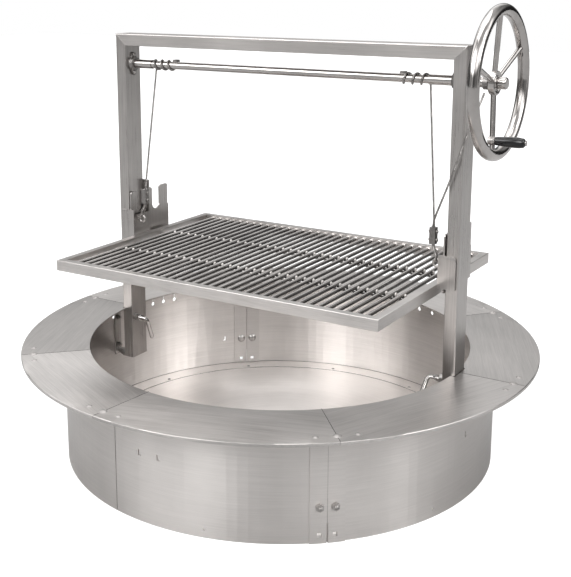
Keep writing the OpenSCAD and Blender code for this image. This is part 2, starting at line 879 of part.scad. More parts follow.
module rope_winding_right() {
    color(bright_steel) swept_tube(winding_path, rope_r, winding_sides);
}

// Blocks on the shaft that grip the ropes' inner ends
anchor_x = rope_off_x - drum_turns * drum_pitch;
anchor_z = shaft_z + rope_d + 0.05;

module rope_anchors() {
    color(dark_steel) for (s = [-1, 1]) on_side(s) difference() {
        translate([anchor_x - 5, 2, anchor_z]) cube([10, drum_rope_r + 1.5, 8]);
        along_x(anchor_x - 6, anchor_x + 6, drum_d + 0.02, 0, shaft_z);
    }
}

// Hand wheel

module wheel_rim() {
    color(bright_steel) translate([rim_x, 0, shaft_z]) rotate([0, 90, 0])
        rotate_extrude($fn = ring_fn) translate([rim_r, 0]) circle(d = rim_d, $fn = 48);
}

// Round spokes, dished from the hub out to the rim and fitted to its tube
module wheel_spokes() {
    hub_r = hub_d / 2 - 1.5;
    dish = atan(wheel_dish / (rim_r - hub_r));
    color(bright_steel) difference() {
        for (a = spoke_degs)
            translate([hub_x, 0, shaft_z]) rotate([-a, 0, 0]) translate([0, 0, hub_r])
                rotate([0, dish, 0]) cylinder(d = spoke_d, h = (rim_r - hub_r) / cos(dish));
        translate([rim_x, 0, shaft_z]) rotate([0, 90, 0])
            rotate_extrude($fn = ring_fn) translate([rim_r, 0]) circle(d = rim_d, $fn = 48);
        translate([hub_x, 0, shaft_z]) rotate([0, 90, 0])
            cylinder(d = hub_d, h = 4 * hub_t, center = true);
    }
}

// Hub turned with a shallow recess in its outer face
module wheel_hub() {
    recess = 2;
    color(bright_steel) translate([hub_x, 0, shaft_z]) rotate([0, 90, 0]) rotate_extrude() polygon([
        [sleeve_r + 0.02, -hub_t / 2], [hub_d / 2 - 1, -hub_t / 2], [hub_d / 2, -hub_t / 2 + 1],
        [hub_d / 2, hub_t / 2 - 1], [hub_d / 2 - 1, hub_t / 2], [hub_d / 2 - 5, hub_t / 2],
        [hub_d / 2 - 7, hub_t / 2 - recess], [cap_d / 2 + 2, hub_t / 2 - recess],
        [cap_d / 2 + 1, hub_t / 2], [sleeve_r + 0.02, hub_t / 2]
    ]);
}

module hub_cap() {
    color(bright_steel) translate([hub_out_x, 0, shaft_z]) rotate([0, 90, 0]) rotate_extrude() polygon([
        [0, 0], [cap_d / 2, 0], [cap_d / 2, cap_l - 3], [cap_d / 2 - 1, cap_l - 1.2],
        [cap_d / 2 - 3, cap_l], [0, cap_l]
    ]);
}

// Lug welded between rim and spoke, with the spindle that the grip turns on
module crank_spindle() {
    lug_d = 15;
    color(bright_steel) difference() {
        union() {
            along_x(rim_x - 6, lug_out_x, lug_d, crank_y, crank_z);
            along_x(lug_out_x - eps, grip_end_x + 1.2, spindle_d, crank_y, crank_z);
            along_x(grip_end_x + 0.8, grip_end_x + 2.6, spindle_d + 1.6, crank_y, crank_z);
        }
        translate([rim_x, 0, shaft_z]) rotate([0, 90, 0])
            rotate_extrude($fn = ring_fn) translate([rim_r, 0]) circle(d = rim_d, $fn = 48);
        crank_spoke_room();
    }
}

// The down spoke's own space, so that the lug's foot is cut round it
module crank_spoke_room() {
    hub_r = hub_d / 2 - 1.5;
    dish = atan(wheel_dish / (rim_r - hub_r));
    translate([hub_x, 0, shaft_z]) rotate([-spoke_degs[2], 0, 0]) translate([0, 0, hub_r])
        rotate([0, dish, 0]) cylinder(d = spoke_d, h = rim_r);
}

// Barrel-shaped grip with a rounded nose, bored for its spindle
module crank_grip() {
    bore_r = spindle_d / 2 + grip_clear;
    root_r = grip_root_d / 2;
    big_r = grip_d / 2;
    belly = 0.72 * grip_l;
    nose = 5;
    profile = concat(
        [[bore_r, 0], [root_r - 0.8, 0], [root_r, 0.8]],
        [for (i = [1:12]) let (u = i / 12) [root_r + (big_r - root_r) * sin(90 * u), 0.8 + (belly - 0.8) * u]],
        [for (i = [1:6]) let (u = i / 6) [big_r - 0.9 * u * u, belly + (grip_l - nose - belly) * u]],
        [for (i = [1:6]) let (a = 15 * i)
            [big_r - 0.9 - nose * 0.8 * (1 - cos(a)), grip_l - nose + nose * sin(a)]],
        [[bore_r, grip_l]]
    );
    color(black) translate([grip_x, crank_y, crank_z]) rotate([0, 90, 0]) rotate_extrude() polygon(profile);
}

// Grate

rail_edge_r = 1.2;

// Welded frame of rectangular tube with mitred corners, hollow all the way round
module grate_frame() {
    w = 2 * rail_out;
    color(steel) translate([0, -grate_ahead, grate_top - rail_h / 2]) difference() {
        intersection() {
            translate([-rail_out, 0, 0]) rotate([90, 0, 90]) linear_extrude(w)
                round_rect(grate_d, rail_h, rail_edge_r);
            translate([0, grate_d / 2, 0]) rotate([90, 0, 0]) linear_extrude(grate_d)
                round_rect(w, rail_h, rail_edge_r);
        }
        cube([w - 2 * rail_w, grate_d - 2 * rail_w, 2 * rail_h], center = true);
        difference() {
            cube([w - 2 * rail_t, grate_d - 2 * rail_t, rail_h - 2 * rail_t], center = true);
            cube([w - 2 * (rail_w - rail_t), grate_d - 2 * (rail_w - rail_t), rail_h], center = true);
        }
    }
}

module grate_bars() {
    pitch = 2 * rail_in / (bars_n + 1);
    color(steel) for (i = [1:bars_n])
        translate([-rail_in + i * pitch, grate_back - rail_w, bar_z]) rotate([90, 0, 0])
            cylinder(d = bar_d, h = grate_d - 2 * rail_w, $fn = 32);
}

// Rods under the bars, at one and two thirds of the grate's depth
module cross_rods() {
    color(steel) for (k = [1, 2])
        along_x(-rail_in, rail_in, cross_d, grate_front + grate_d * k / 3, cross_z);
}

// Cradle plates: three prongs with two round-bottomed notches between them

cradle_r = 5;
front_prong_w = 19.5;
mid_prong_w = 29.5;
back_prong_w = 30;
// The back edge steps out below the notches
back_step = 3;
back_step_top = cradle_top - notch_depth;
front_notch_y = cradle_front + front_prong_w + notch_w / 2;
back_notch_y = front_notch_y + notch_w + mid_prong_w;
cradle_back = back_notch_y + notch_w / 2 + back_prong_w;

// Outline in y and z
module cradle_outline() {
    h = cradle_top - cradle_low;
    difference() {
        union() {
            translate([(cradle_front + cradle_back) / 2, cradle_low + h / 2])
                round_rect(cradle_back - cradle_front, h, cradle_r);
            translate([cradle_back - 2 * cradle_r, cradle_low])
                square([2 * cradle_r + back_step, back_step_top - cradle_low]);
        }
        for (y = [front_notch_y, back_notch_y]) {
            deeper = y == back_notch_y ? 4 : 0;
            translate([y, cradle_top - notch_depth - deeper + notch_w / 2]) {
                circle(notch_w / 2);
                translate([-notch_w / 2, 0]) square([notch_w, notch_depth + 20]);
            }
            // Chamfers that lead into the notch
            translate([y, cradle_top - notch_w / 2 - 4]) rotate(45)
                square([notch_w + 1, notch_w + 1], center = false);
        }
    }
}

module cradle_plate(s) {
    on_side(s) difference() {
        translate([cradle_in, 0, 0]) rotate([90, 0, 90]) linear_extrude(cradle_t) cradle_outline();
        along_x(cradle_in - 1, cradle_out + 1, eye_bolt_d + 0.4, eye_y, eye_z);
    }
}

module cradle_plate_left() { color(steel) cradle_plate(-1); }
module cradle_plate_right() { color(steel) cradle_plate(1); }

// Post guide: a web on the grate's rail and two ears that embrace the post. The
// tall back ear is slit from below, and the cradle plate stands in the slit.
module post_guide() {
    ear_r = 9;
    ear_end = guide_out + ear_reach;
    difference() {
        union() {
            translate([rail_out, -ear_y - guide_t, guide_low])
                cube([guide_t, 2 * (ear_y + guide_t), guide_top - guide_low]);
            translate([0, -ear_y, 0]) guide_ear(ear_end, ear_top, ear_r);
            translate([0, ear_y + guide_t, 0]) guide_ear(ear_end, back_ear_top, ear_r);
        }
        along_x(rail_out - 1, guide_out + 1, eye_bolt_d + 0.4, eye_y, eye_z);
        translate([cradle_in, ear_y - 1, cradle_low])
            cube([cradle_t, guide_t + 2, cradle_top - cradle_low]);
    }
}

// Ear with a round outer corner, its back face on the plane y = 0
module guide_ear(end, top, r) {
    rotate([90, 0, 0]) linear_extrude(guide_t) {
        translate([rail_out, guide_low]) square([end - rail_out - r, top - guide_low]);
        translate([rail_out, guide_low]) square([end - rail_out, top - guide_low - r]);
        translate([end - r, top - r]) circle(r);
    }
}

module post_guide_left() { color(steel) on_side(-1) post_guide(); }
module post_guide_right() { color(steel) on_side(1) post_guide(); }

// Eye bolts through cradle plate and guide, with their nuts behind
module eye_bolts() {
    color(bright_steel) for (s = [-1, 1]) on_side(s) union() {
        translate([eye_x, eye_y, eye_z]) rotate([90, 0, 0])
            rotate_extrude() translate([eye_ring_r, 0]) circle(d = eye_wire, $fn = 32);
        difference() {
            along_x(eye_x + eye_ring_r - 1, cradle_out + bolt_end, eye_bolt_d, eye_y, eye_z);
            translate([eye_x, eye_y, eye_z]) rotate([90, 0, 0])
                cylinder(r = eye_ring_r, h = 20, center = true);
        }
        along_x(rail_out - 1.5, rail_out, 11, eye_y, eye_z);
    }
}

module eye_nuts() {
    color(dark_steel) for (s = [-1, 1]) on_side(s)
        translate([guide_out, eye_y, eye_z]) rotate([0, 90, 0]) hex_nut(10, eye_nut_t, eye_bolt_d + 0.1);
}

// Rope loops through the eyes: down, round the eye's wire and up again

loop_r = eye_wire / 2 + rope_r + 0.3;
loop_z = eye_z + eye_ring_r + 0.1;
loop_path = concat(
    run([clip_x, eye_y + strand_off, clip_top], [clip_x, eye_y + strand_off, clip_z], 2),
    [for (i = [1:5]) let (u = i / 6, w = (1 - cos(180 * u)) / 2) [
        clip_x + (eye_x - clip_x) * w, eye_y + strand_off + (loop_r - strand_off) * w,
        clip_z + (loop_z - clip_z) * u]],
    [for (i = [0:12]) [eye_x, eye_y + loop_r * cos(15 * i), loop_z - loop_r * sin(15 * i)]],
    [for (i = [1:5]) let (u = 1 - i / 6, w = (1 - cos(180 * u)) / 2) [
        clip_x + (eye_x - clip_x) * w, eye_y - strand_off - (loop_r - strand_off) * w,
        clip_z + (loop_z - clip_z) * u]],
    run([clip_x, eye_y - strand_off, clip_z], [clip_x, eye_y - strand_off, clip_top], 2)
);

module rope_loops() {
    color(bright_steel) for (s = [-1, 1]) on_side(s) swept_tube(loop_path, rope_r, rope_sides);
}

// Clips that pinch the rope's two strands: a grooved body with two bolts
module rope_clips() {
    body_x = clip_w / 2;
    plate = 4;
    color(dark_steel) for (s = [-1, 1]) on_side(s) difference() {
        union() {
            translate([clip_x, eye_y, clip_z + clip_h / 2])
                cube([rope_d + 2 * plate, 2 * strand_off + rope_d + 4, clip_h], center = true);
            for (k = [0.25, 0.75]) {
                translate([clip_x, eye_y, clip_z + clip_h * k])
                    rotate([0, 90, 0]) cylinder(d = 3.6, h = clip_w, center = true);
            }
        }
        for (k = [-1, 1]) translate([clip_x, eye_y + k * strand_off, clip_z - 1])
            cylinder(d = rope_d + 0.1, h = clip_h + 2);
    }
}

// Lift ropes from the windings down to the clips

lift_path = concat(run(lift_top, lift_knee, 10), [lift_knee - [0, 0, rope_d]]);

module lift_rope_left() { color(bright_steel) on_side(-1) swept_tube(lift_path, rope_r, rope_sides); }
module lift_rope_right() { color(bright_steel) swept_tube(lift_path, rope_r, rope_sides); }

// The right rope's free end runs up in front of the post to the shaft's stub
tail_end_drop = 17.2;
tail_rise = shaft_z - tail_end_drop - clip_top;
// Steps along X and Y in millimetres, and along Z as parts of the whole rise
tail_right_route = [
    [0, 0, 0], [0, 0, rope_d / tail_rise], [5, -10, 0.06], [14, -20, 0.125], [28, -24, 0.255], [40, -24, 0.38],
    [52, -24, 0.52], [64, -23, 0.665], [76, -20, 0.81], [86, -13, 0.925], [91, -6, 1]
];

module rope_tail_right() {
    start = [clip_x, eye_y - strand_off, clip_top];
    color(bright_steel) swept_tube(
        [for (q = tail_right_route) start + [q.x, q.y, q.z * tail_rise]], rope_r, rope_sides);
}

// Lock handles: a screw through the nut, bent down into a lever

module lock_handle(tilt) {
    knee = post_in - lock_reach;
    straight = lever_l - lock_bend_r;
    translate([0, lock_y, 0]) rotate([tilt, 0, 0]) {
        along_x(post_in - lock_nut_t - 6, post_in + tube_t + spigot_clear, lock_thread_d);
        along_x(post_in - lock_nut_t - 9, post_in - lock_nut_t - 4, lock_d + 4);
        along_x(knee + lock_bend_r, post_in - lock_nut_t - 6, lock_d);
        translate([knee + lock_bend_r, 0, -lock_bend_r]) rotate([90, 0, 0]) rotate([0, 0, 90])
            rotate_extrude(angle = 90) translate([lock_bend_r, 0]) circle(d = lock_d);
        translate([knee, 0, -lock_bend_r - straight]) cylinder(d = lock_d, h = straight);
        translate([knee, 0, -lock_bend_r - straight]) sphere(d = lock_d);
    }
}

module lock_handle_left() {
    color(bright_steel) on_side(-1) translate([0, 0, lock_z]) lock_handle(lever_tilt_left);
}

module lock_handle_right() {
    color(bright_steel) translate([0, 0, lock_z_right]) lock_handle(-lever_tilt_right);
}

wall_half_left();
wall_half_right();
joint_straps();
joint_backing_strips();
joint_bolts();
joint_nuts();
flange_segment_1();
flange_segment_2();
flange_segment_3();
flange_segment_4();
flange_segment_5();
flange_segment_6();
flange_segment_7();
flange_segment_8();
flange_splices();
flange_screws();
floor_ledge();
floor_pan();
floor_screws();
post_bracket_left();
post_bracket_right();
bracket_studs();
bracket_nuts();
post_left();
post_right();
crossbeam();
lock_nuts();
bearing_left();
bearing_right();
bearing_outer();
bearing_screws();
winch_tube();
shaft_sleeve_left();
shaft_sleeve_right();
shaft_collar();
rope_anchors();
rope_winding_left();
rope_winding_right();
wheel_hub();
wheel_spokes();
wheel_rim();
hub_cap();
crank_spindle();
crank_grip();
grate_frame();
grate_bars();
cross_rods();
cradle_plate_left();
cradle_plate_right();
post_guide_left();
post_guide_right();
eye_bolts();
eye_nuts();
rope_clips();
rope_loops();
lift_rope_left();
lift_rope_right();
rope_tail_right();
lock_handle_left();
lock_handle_right();
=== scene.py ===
# %% [markdown]
# Santa Maria grill: a stainless steel fire ring with a flat flange, and a
# grate that a hand wheel lifts on two wire ropes. The imported model gives every
# solid at its real size, in metres, with the ring's axis on the ground as the
# origin. This notebook gives those solids their steel, and adds what is too
# fine for them: the rope's strands, the grate's weld beads, ground weld lines,
# dark hairlines of painted shade between sheets, and the nuts of the rope clips.
# The frame is loaded first.

import json
import math

import bmesh
import bpy
from mathutils import Matrix, Vector


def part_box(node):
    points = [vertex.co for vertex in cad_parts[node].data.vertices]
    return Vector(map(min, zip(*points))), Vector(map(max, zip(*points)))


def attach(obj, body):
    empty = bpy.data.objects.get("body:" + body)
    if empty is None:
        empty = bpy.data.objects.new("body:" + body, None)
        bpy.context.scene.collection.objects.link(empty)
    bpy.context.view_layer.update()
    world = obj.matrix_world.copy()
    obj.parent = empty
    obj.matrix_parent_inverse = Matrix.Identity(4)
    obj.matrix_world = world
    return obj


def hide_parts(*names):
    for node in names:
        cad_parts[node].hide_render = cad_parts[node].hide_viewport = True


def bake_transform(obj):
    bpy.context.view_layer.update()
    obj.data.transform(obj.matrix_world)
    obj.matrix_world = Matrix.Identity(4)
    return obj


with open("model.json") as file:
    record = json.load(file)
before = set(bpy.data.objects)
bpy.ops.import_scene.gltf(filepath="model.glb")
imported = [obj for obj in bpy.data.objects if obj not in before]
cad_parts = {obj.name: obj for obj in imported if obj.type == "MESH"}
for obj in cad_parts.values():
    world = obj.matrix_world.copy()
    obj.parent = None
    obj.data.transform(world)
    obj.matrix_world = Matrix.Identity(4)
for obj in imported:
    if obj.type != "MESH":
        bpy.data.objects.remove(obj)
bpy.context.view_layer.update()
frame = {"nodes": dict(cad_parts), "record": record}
scene = bpy.context.scene


def middle(node):
    """The middle of a solid's box."""
    low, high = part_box(node)
    return (low + high) / 2


# %% [markdown]
# The camera stands where the photographer stood. Its place, turn and focal
# length were worked out from the ellipses of the round flange and wall and
# from the straight edges of the frame, so the render lines up with the
# picture. The picture is a crop of a larger frame: its optical axis lies left
# of and above the middle. A small shift of the lens gives the same crop.

# %% Camera
PICTURE_WIDTH = 571
PICTURE_HEIGHT = 577
FOCAL_PIXELS = 1057.73
AXIS_PIXEL = (261.35, 205.45)
SENSOR_WIDTH = 36.0
CAMERA_PLACE = (1.1008, -1.82168, 0.96778)
CAMERA_DOWN = math.radians(12.165)
CAMERA_YAW = math.radians(32.175)


def add_camera():
    """The scene's camera, with the picture's crop as a shift of the lens."""
    data = bpy.data.cameras.new("picture_camera")
    data.sensor_fit = "HORIZONTAL"
    data.sensor_width = SENSOR_WIDTH
    data.lens = FOCAL_PIXELS / PICTURE_WIDTH * SENSOR_WIDTH
    data.shift_x = (PICTURE_WIDTH / 2 - AXIS_PIXEL[0]) / PICTURE_WIDTH
    data.shift_y = (AXIS_PIXEL[1] - PICTURE_HEIGHT / 2) / PICTURE_WIDTH
    camera = bpy.data.objects.new("picture_camera", data)
    camera.location = CAMERA_PLACE
    camera.rotation_euler = (math.pi / 2 - CAMERA_DOWN, 0, CAMERA_YAW)
    scene.collection.objects.link(camera)
    scene.camera = camera
    return camera


print("lens in mm:", round(add_camera().data.lens, 2))

# %% [markdown]
# The solids arrive as loose, flat-shaded triangles. A copy of each solid's
# mesh is merged and shaded smooth, and its sharp edges are marked, so that
# curved sheets look curved and corners stay crisp. Normals weighted by the
# size of the faces keep flat faces flat. The copy then stands for the solid
# and moves with the same body.

# %% Smooth copies of the solids
NODE_BODY = {
    node: body
    for body, nodes in frame["record"]["behaviour"]["bodies"].items()
    for node in nodes
}
NODE_SLOT = {part["node"]: part["material_slot"] for part in frame["record"]["subparts"]}
MERGE_DISTANCE = 1e-6
SHARP_ANGLE = math.radians(28)


def link_piece(bm, name, body, material):
    """Turns mesh data into a named piece, which rides on the body if one is given."""
    mesh = bpy.data.meshes.new(name)
    bm.to_mesh(mesh)
    bm.free()
    mesh.set_sharp_from_angle(angle=SHARP_ANGLE)
    piece = bpy.data.objects.new(name, mesh)
    scene.collection.objects.link(piece)
    mesh.materials.append(material)
    if body:
        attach(piece, body)
    return piece


def merged_copy(node):
    """A solid's mesh with its triangles joined at their corners and shaded smooth."""
    bm = bmesh.new()
    bm.from_mesh(frame["nodes"][node].data)
    bmesh.ops.remove_doubles(bm, verts=bm.verts, dist=MERGE_DISTANCE)
    for face in bm.faces:
        face.smooth = True
    return bm


def dress(node, material):
    """A smooth copy of a solid in its steel, which stands for the solid."""
    piece = link_piece(merged_copy(node), node + "_finish", NODE_BODY[node], material)
    even = piece.modifiers.new("even_faces", "WEIGHTED_NORMAL")
    even.keep_sharp = True
    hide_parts(node)
    return piece


print("solids with a body and a slot:", len(NODE_BODY), len(NODE_SLOT))

# %% [markdown]
# Brushed steel is made by a belt that leaves fine, nearly parallel scratches.
# Seen from a step away they don't show one by one: they draw the highlight out
# across the grain, and leave long faint streaks along it. The first group
# makes that grain from noise that is stretched along the scratches. Its
# coordinates are either straight (sheet and tube) or run round the ring's axis
# (rolled wall, spun floor), and a second group makes the round ones.

# %% Shader groups
# How much the fine and the wide streaks add, and the streaks and the clouds
FINE_SHARE = 0.72
WIDE_SHARE = 0.28
STREAK_SHARE = 0.6
CLOUD_SHARE = 0.4
WIDE_SCALE = 0.22
# The part of the mixed noise over which tone and roughness go from their first value to their second
TONE_RANGE = (0.34, 0.66)
ROUGH_RANGE = (0.3, 0.7)


def new_group(name, inputs, outputs):
    """An empty shader group with its named sockets, and its input and output nodes."""
    group = bpy.data.node_groups.new(name, "ShaderNodeTree")
    for socket, kind, value in inputs:
        made = group.interface.new_socket(socket, in_out="INPUT", socket_type=kind)
        if value is not None:
            made.default_value = value
    for socket, kind in outputs:
        group.interface.new_socket(socket, in_out="OUTPUT", socket_type=kind)
    return group, group.nodes.new("NodeGroupInput"), group.nodes.new("NodeGroupOutput")


def math_node(tree, operation, a, b):
    """One operation on two values, each a number or another node's output."""
    node = tree.nodes.new("ShaderNodeMath")
    node.operation = operation
    for socket, value in zip(node.inputs, (a, b)):
        if isinstance(value, (int, float)):
            socket.default_value = value
        else:
            tree.links.new(value, socket)
    return node.outputs[0]


def noise_node(tree, vector, scale, detail, roughness=0.5):
    """A noise from 0 to 1 at the given coordinates."""
    node = tree.nodes.new("ShaderNodeTexNoise")
    node.inputs["Scale"].default_value = scale
    node.inputs["Detail"].default_value = detail
    node.inputs["Roughness"].default_value = roughness
    tree.links.new(vector, node.inputs["Vector"])
    return node.outputs["Fac"]


def range_node(tree, value, low, high, to_low, to_high):
    """Carries a value from the range low to high over to another range."""
    node = tree.nodes.new("ShaderNodeMapRange")
    tree.links.new(value, node.inputs["Value"])
    sockets = ("From Min", "From Max", "To Min", "To Max")
    for socket, number in zip(sockets, (low, high, to_low, to_high)):
        if isinstance(number, (int, float)):
            node.inputs[socket].default_value = number
        else:
            tree.links.new(number, node.inputs[socket])
    return node.outputs["Result"]


def make_round_coordinates():
    """Seamless coordinates round the Z axis: direction slowly, radius and height quickly."""
    group, inside, outside = new_group(
        "round_the_ring",
        [("Vector", "NodeSocketVector", None), ("Along", "NodeSocketFloat", 3.0),
         ("Across", "NodeSocketFloat", 300.0)],
        [("Vector", "NodeSocketVector")],
    )
    links = group.links
    split = group.nodes.new("ShaderNodeSeparateXYZ")
    links.new(inside.outputs["Vector"], split.inputs[0])
    flat = group.nodes.new("ShaderNodeCombineXYZ")
    links.new(split.outputs["X"], flat.inputs["X"])
    links.new(split.outputs["Y"], flat.inputs["Y"])
    length = group.nodes.new("ShaderNodeVectorMath")
    length.operation = "LENGTH"
    links.new(flat.outputs[0], length.inputs[0])
    unit = group.nodes.new("ShaderNodeVectorMath")
    unit.operation = "NORMALIZE"
    links.new(flat.outputs[0], unit.inputs[0])
    unit_split = group.nodes.new("ShaderNodeSeparateXYZ")
    links.new(unit.outputs[0], unit_split.inputs[0])
    across = math_node(group, "ADD", length.outputs["Value"], split.outputs["Z"])
    result = group.nodes.new("ShaderNodeCombineXYZ")
    for axis in "XY":
        slow = math_node(group, "MULTIPLY", unit_split.outputs[axis], inside.outputs["Along"])
        links.new(slow, result.inputs[axis])
    links.new(math_node(group, "MULTIPLY", across, inside.outputs["Across"]), result.inputs["Z"])
    links.new(result.outputs[0], outside.inputs["Vector"])
    return group


def make_brushed_grain():
    """Fine streaks, broad cloudy tone and height of a belt-ground surface."""
    group, inside, outside = new_group(
        "belt_grain",
        [("Grain Vector", "NodeSocketVector", None), ("Place", "NodeSocketVector", None),
         ("Dark", "NodeSocketColor", (0.5, 0.5, 0.5, 1)),
         ("Light", "NodeSocketColor", (0.7, 0.7, 0.7, 1)),
         ("Smooth", "NodeSocketFloat", 0.25), ("Rough", "NodeSocketFloat", 0.4),
         ("Cloud Size", "NodeSocketFloat", 9.0)],
        [("Color", "NodeSocketColor"), ("Roughness", "NodeSocketFloat"), ("Height", "NodeSocketFloat")],
    )
    fine = noise_node(group, inside.outputs["Grain Vector"], 1.0, 3.0, 0.6)
    wide = noise_node(group, inside.outputs["Grain Vector"], WIDE_SCALE, 2.0)
    clouds = group.nodes.new("ShaderNodeTexNoise")
    clouds.inputs["Detail"].default_value = 3.0
    group.links.new(inside.outputs["Place"], clouds.inputs["Vector"])
    group.links.new(inside.outputs["Cloud Size"], clouds.inputs["Scale"])
    streaks = math_node(group, "ADD", math_node(group, "MULTIPLY", fine, FINE_SHARE),
                        math_node(group, "MULTIPLY", wide, WIDE_SHARE))
    tone = math_node(group, "ADD", math_node(group, "MULTIPLY", streaks, STREAK_SHARE),
                     math_node(group, "MULTIPLY", clouds.outputs["Fac"], CLOUD_SHARE))
    share = range_node(group, tone, *TONE_RANGE, 0.0, 1.0)
    mix = group.nodes.new("ShaderNodeMix")
    mix.data_type = "RGBA"
    group.links.new(share, mix.inputs["Factor"])
    group.links.new(inside.outputs["Dark"], mix.inputs[6])
    group.links.new(inside.outputs["Light"], mix.inputs[7])
    group.links.new(mix.outputs[2], outside.inputs["Color"])
    rough = range_node(group, tone, *ROUGH_RANGE, inside.outputs["Smooth"], inside.outputs["Rough"])
    group.links.new(rough, outside.inputs["Roughness"])
    group.links.new(streaks, outside.inputs["Height"])
    return group


ROUND_GROUP = make_round_coordinates()
GRAIN_GROUP = make_brushed_grain()
print("shader groups:", [group.name for group in bpy.data.node_groups])

# %% [markdown]
# Every steel in the grill is the same alloy with another finish, so one
# function builds them all. The finish says how the grain runs, how light the
# metal is, and how rough. The shader's anisotropy stretches the highlight
# across the scratches, as the eye sees it on real brushed sheet.

# %% Steel finishes
GRAIN_DEPTH = 0.0002
WARM_TINT = (1.0, 0.955, 0.925)
GRIP_BLACK = (0.004, 0.004, 0.0045, 1)
GRIP_ROUGHNESS = (0.12, 0.26)
# A little of every direction, so that the sheen's direction never vanishes on an end face
SHEEN_TILT = (0.03, 0.02, 0.04)
# The upward part of a face's normal where the painted underside shade is full, and where it has faded out
UNDERSIDE_SHADE_RANGE = (-0.1, 0.75)


def place_group(tree, group, values):
    """A use of a shader group, its sockets set to numbers or linked."""
    node = tree.nodes.new("ShaderNodeGroup")
    node.node_tree = group
    for socket, value in values.items():
        if isinstance(value, bpy.types.NodeSocket):
            tree.links.new(value, node.inputs[socket])
        else:
            node.inputs[socket].default_value = value
    return node


def empty_material(name):
    """A new material with its tree, its shader and the coordinates of the object."""
    material = bpy.data.materials.new(name)
    material.use_nodes = True
    tree = material.node_tree
    shader = tree.nodes["Principled BSDF"]
    place = tree.nodes.new("ShaderNodeTexCoord").outputs["Object"]
    return material, tree, shader, place


def straight_grain(tree, place, scale, turn):
    """Coordinates stretched along one straight direction."""
    mapping = tree.nodes.new("ShaderNodeMapping")
    mapping.vector_type = "TEXTURE"
    mapping.inputs["Rotation"].default_value = (0, 0, turn)
    tree.links.new(place, mapping.inputs["Vector"])
    stretch = tree.nodes.new("ShaderNodeVectorMath")
    stretch.operation = "MULTIPLY"
    stretch.inputs[1].default_value = scale
    tree.links.new(mapping.outputs["Vector"], stretch.inputs[0])
    return stretch.outputs[0]


def across_grain(tree, place, grain, turn):
    """The direction square to the scratches, along which the highlight is drawn out."""
    if grain in ("wall", "level"):
        upright = tree.nodes.new("ShaderNodeCombineXYZ")
        for axis, value in zip("XYZ", (SHEEN_TILT[0], SHEEN_TILT[1], 1.0)):
            upright.inputs[axis].default_value = value
        return upright.outputs[0]
    if grain == "round":
        outwards = tree.nodes.new("ShaderNodeVectorMath")
        outwards.operation = "MULTIPLY_ADD"
        outwards.inputs[1].default_value = (1, 1, 0)
        outwards.inputs[2].default_value = (0, 0, SHEEN_TILT[2])
        tree.links.new(place, outwards.inputs[0])
        return outwards.outputs[0]
    face = tree.nodes.new("ShaderNodeNewGeometry")
    square = tree.nodes.new("ShaderNodeVectorMath")
    square.operation = "CROSS_PRODUCT"
    tree.links.new(face.outputs["Normal"], square.inputs[0])
    axis = {"x": (1, 0, 0), "y": (0, 1, 0), "z": (0, 0, 1)}[grain]
    square.inputs[1].default_value = Matrix.Rotation(turn, 3, "Z") @ Vector(axis)
    tilted = tree.nodes.new("ShaderNodeVectorMath")
    tilted.inputs[1].default_value = SHEEN_TILT
    tree.links.new(square.outputs[0], tilted.inputs[0])
    return tilted.outputs[0]


def paint_underside_shade(tree, tone, shade_below):
    """Paints shade on what faces down: the more a face looks down, the darker its colour."""
    face = tree.nodes.new("ShaderNodeNewGeometry")
    split = tree.nodes.new("ShaderNodeSeparateXYZ")
    tree.links.new(face.outputs["Normal"], split.inputs[0])
    share = range_node(tree, split.outputs["Z"], *UNDERSIDE_SHADE_RANGE, shade_below, 1.0)
    darker = tree.nodes.new("ShaderNodeVectorMath")
    darker.operation = "SCALE"
    tree.links.new(tone, darker.inputs[0])
    tree.links.new(share, darker.inputs["Scale"])
    return darker.outputs[0]


def steel(name, dark, light, smooth, rough, grain="x", turn=0.0, along=12.0, across=700.0,
          bump=0.06, stretch=0.6, clouds=9.0, shade_below=1.0):
    """A brushed steel between two tones and two roughnesses. The grain runs along x, y or z,
    any level way, round the axis on a wall or on a floor (round), or no way (none)."""
    material, tree, shader, place = empty_material(name)
    if grain in ("round", "wall"):
        vector = place_group(tree, ROUND_GROUP, {
            "Vector": place, "Along": along, "Across": across,
        }).outputs["Vector"]
    else:
        scale = {"x": (along, across, across), "y": (across, along, across), "z": (across, across, along),
                 "level": (along, along, across), "none": (across, across, across)}[grain]
        vector = straight_grain(tree, place, scale, turn)
    look = place_group(tree, GRAIN_GROUP, {
        "Grain Vector": vector, "Place": place,
        "Dark": (*dark, 1), "Light": (*light, 1),
        "Smooth": smooth, "Rough": rough, "Cloud Size": clouds,
    })
    tone = look.outputs["Color"]
    # Painted shade: faces that look down get a darker colour
    if shade_below < 1.0:
        tone = paint_underside_shade(tree, tone, shade_below)
    tree.links.new(tone, shader.inputs["Base Color"])
    tree.links.new(look.outputs["Roughness"], shader.inputs["Roughness"])
    shader.inputs["Metallic"].default_value = 1.0
    if bump:
        relief = tree.nodes.new("ShaderNodeBump")
        relief.inputs["Strength"].default_value = bump
        relief.inputs["Distance"].default_value = GRAIN_DEPTH
        tree.links.new(look.outputs["Height"], relief.inputs["Height"])
        tree.links.new(relief.outputs["Normal"], shader.inputs["Normal"])
    if stretch and grain != "none":
        shader.inputs["Anisotropic"].default_value = stretch
        tree.links.new(across_grain(tree, place, grain, turn), shader.inputs["Tangent"])
    return material


def warm(value):
    """Stainless steel's slightly warm grey of a given lightness."""
    return tuple(value * part for part in WARM_TINT)


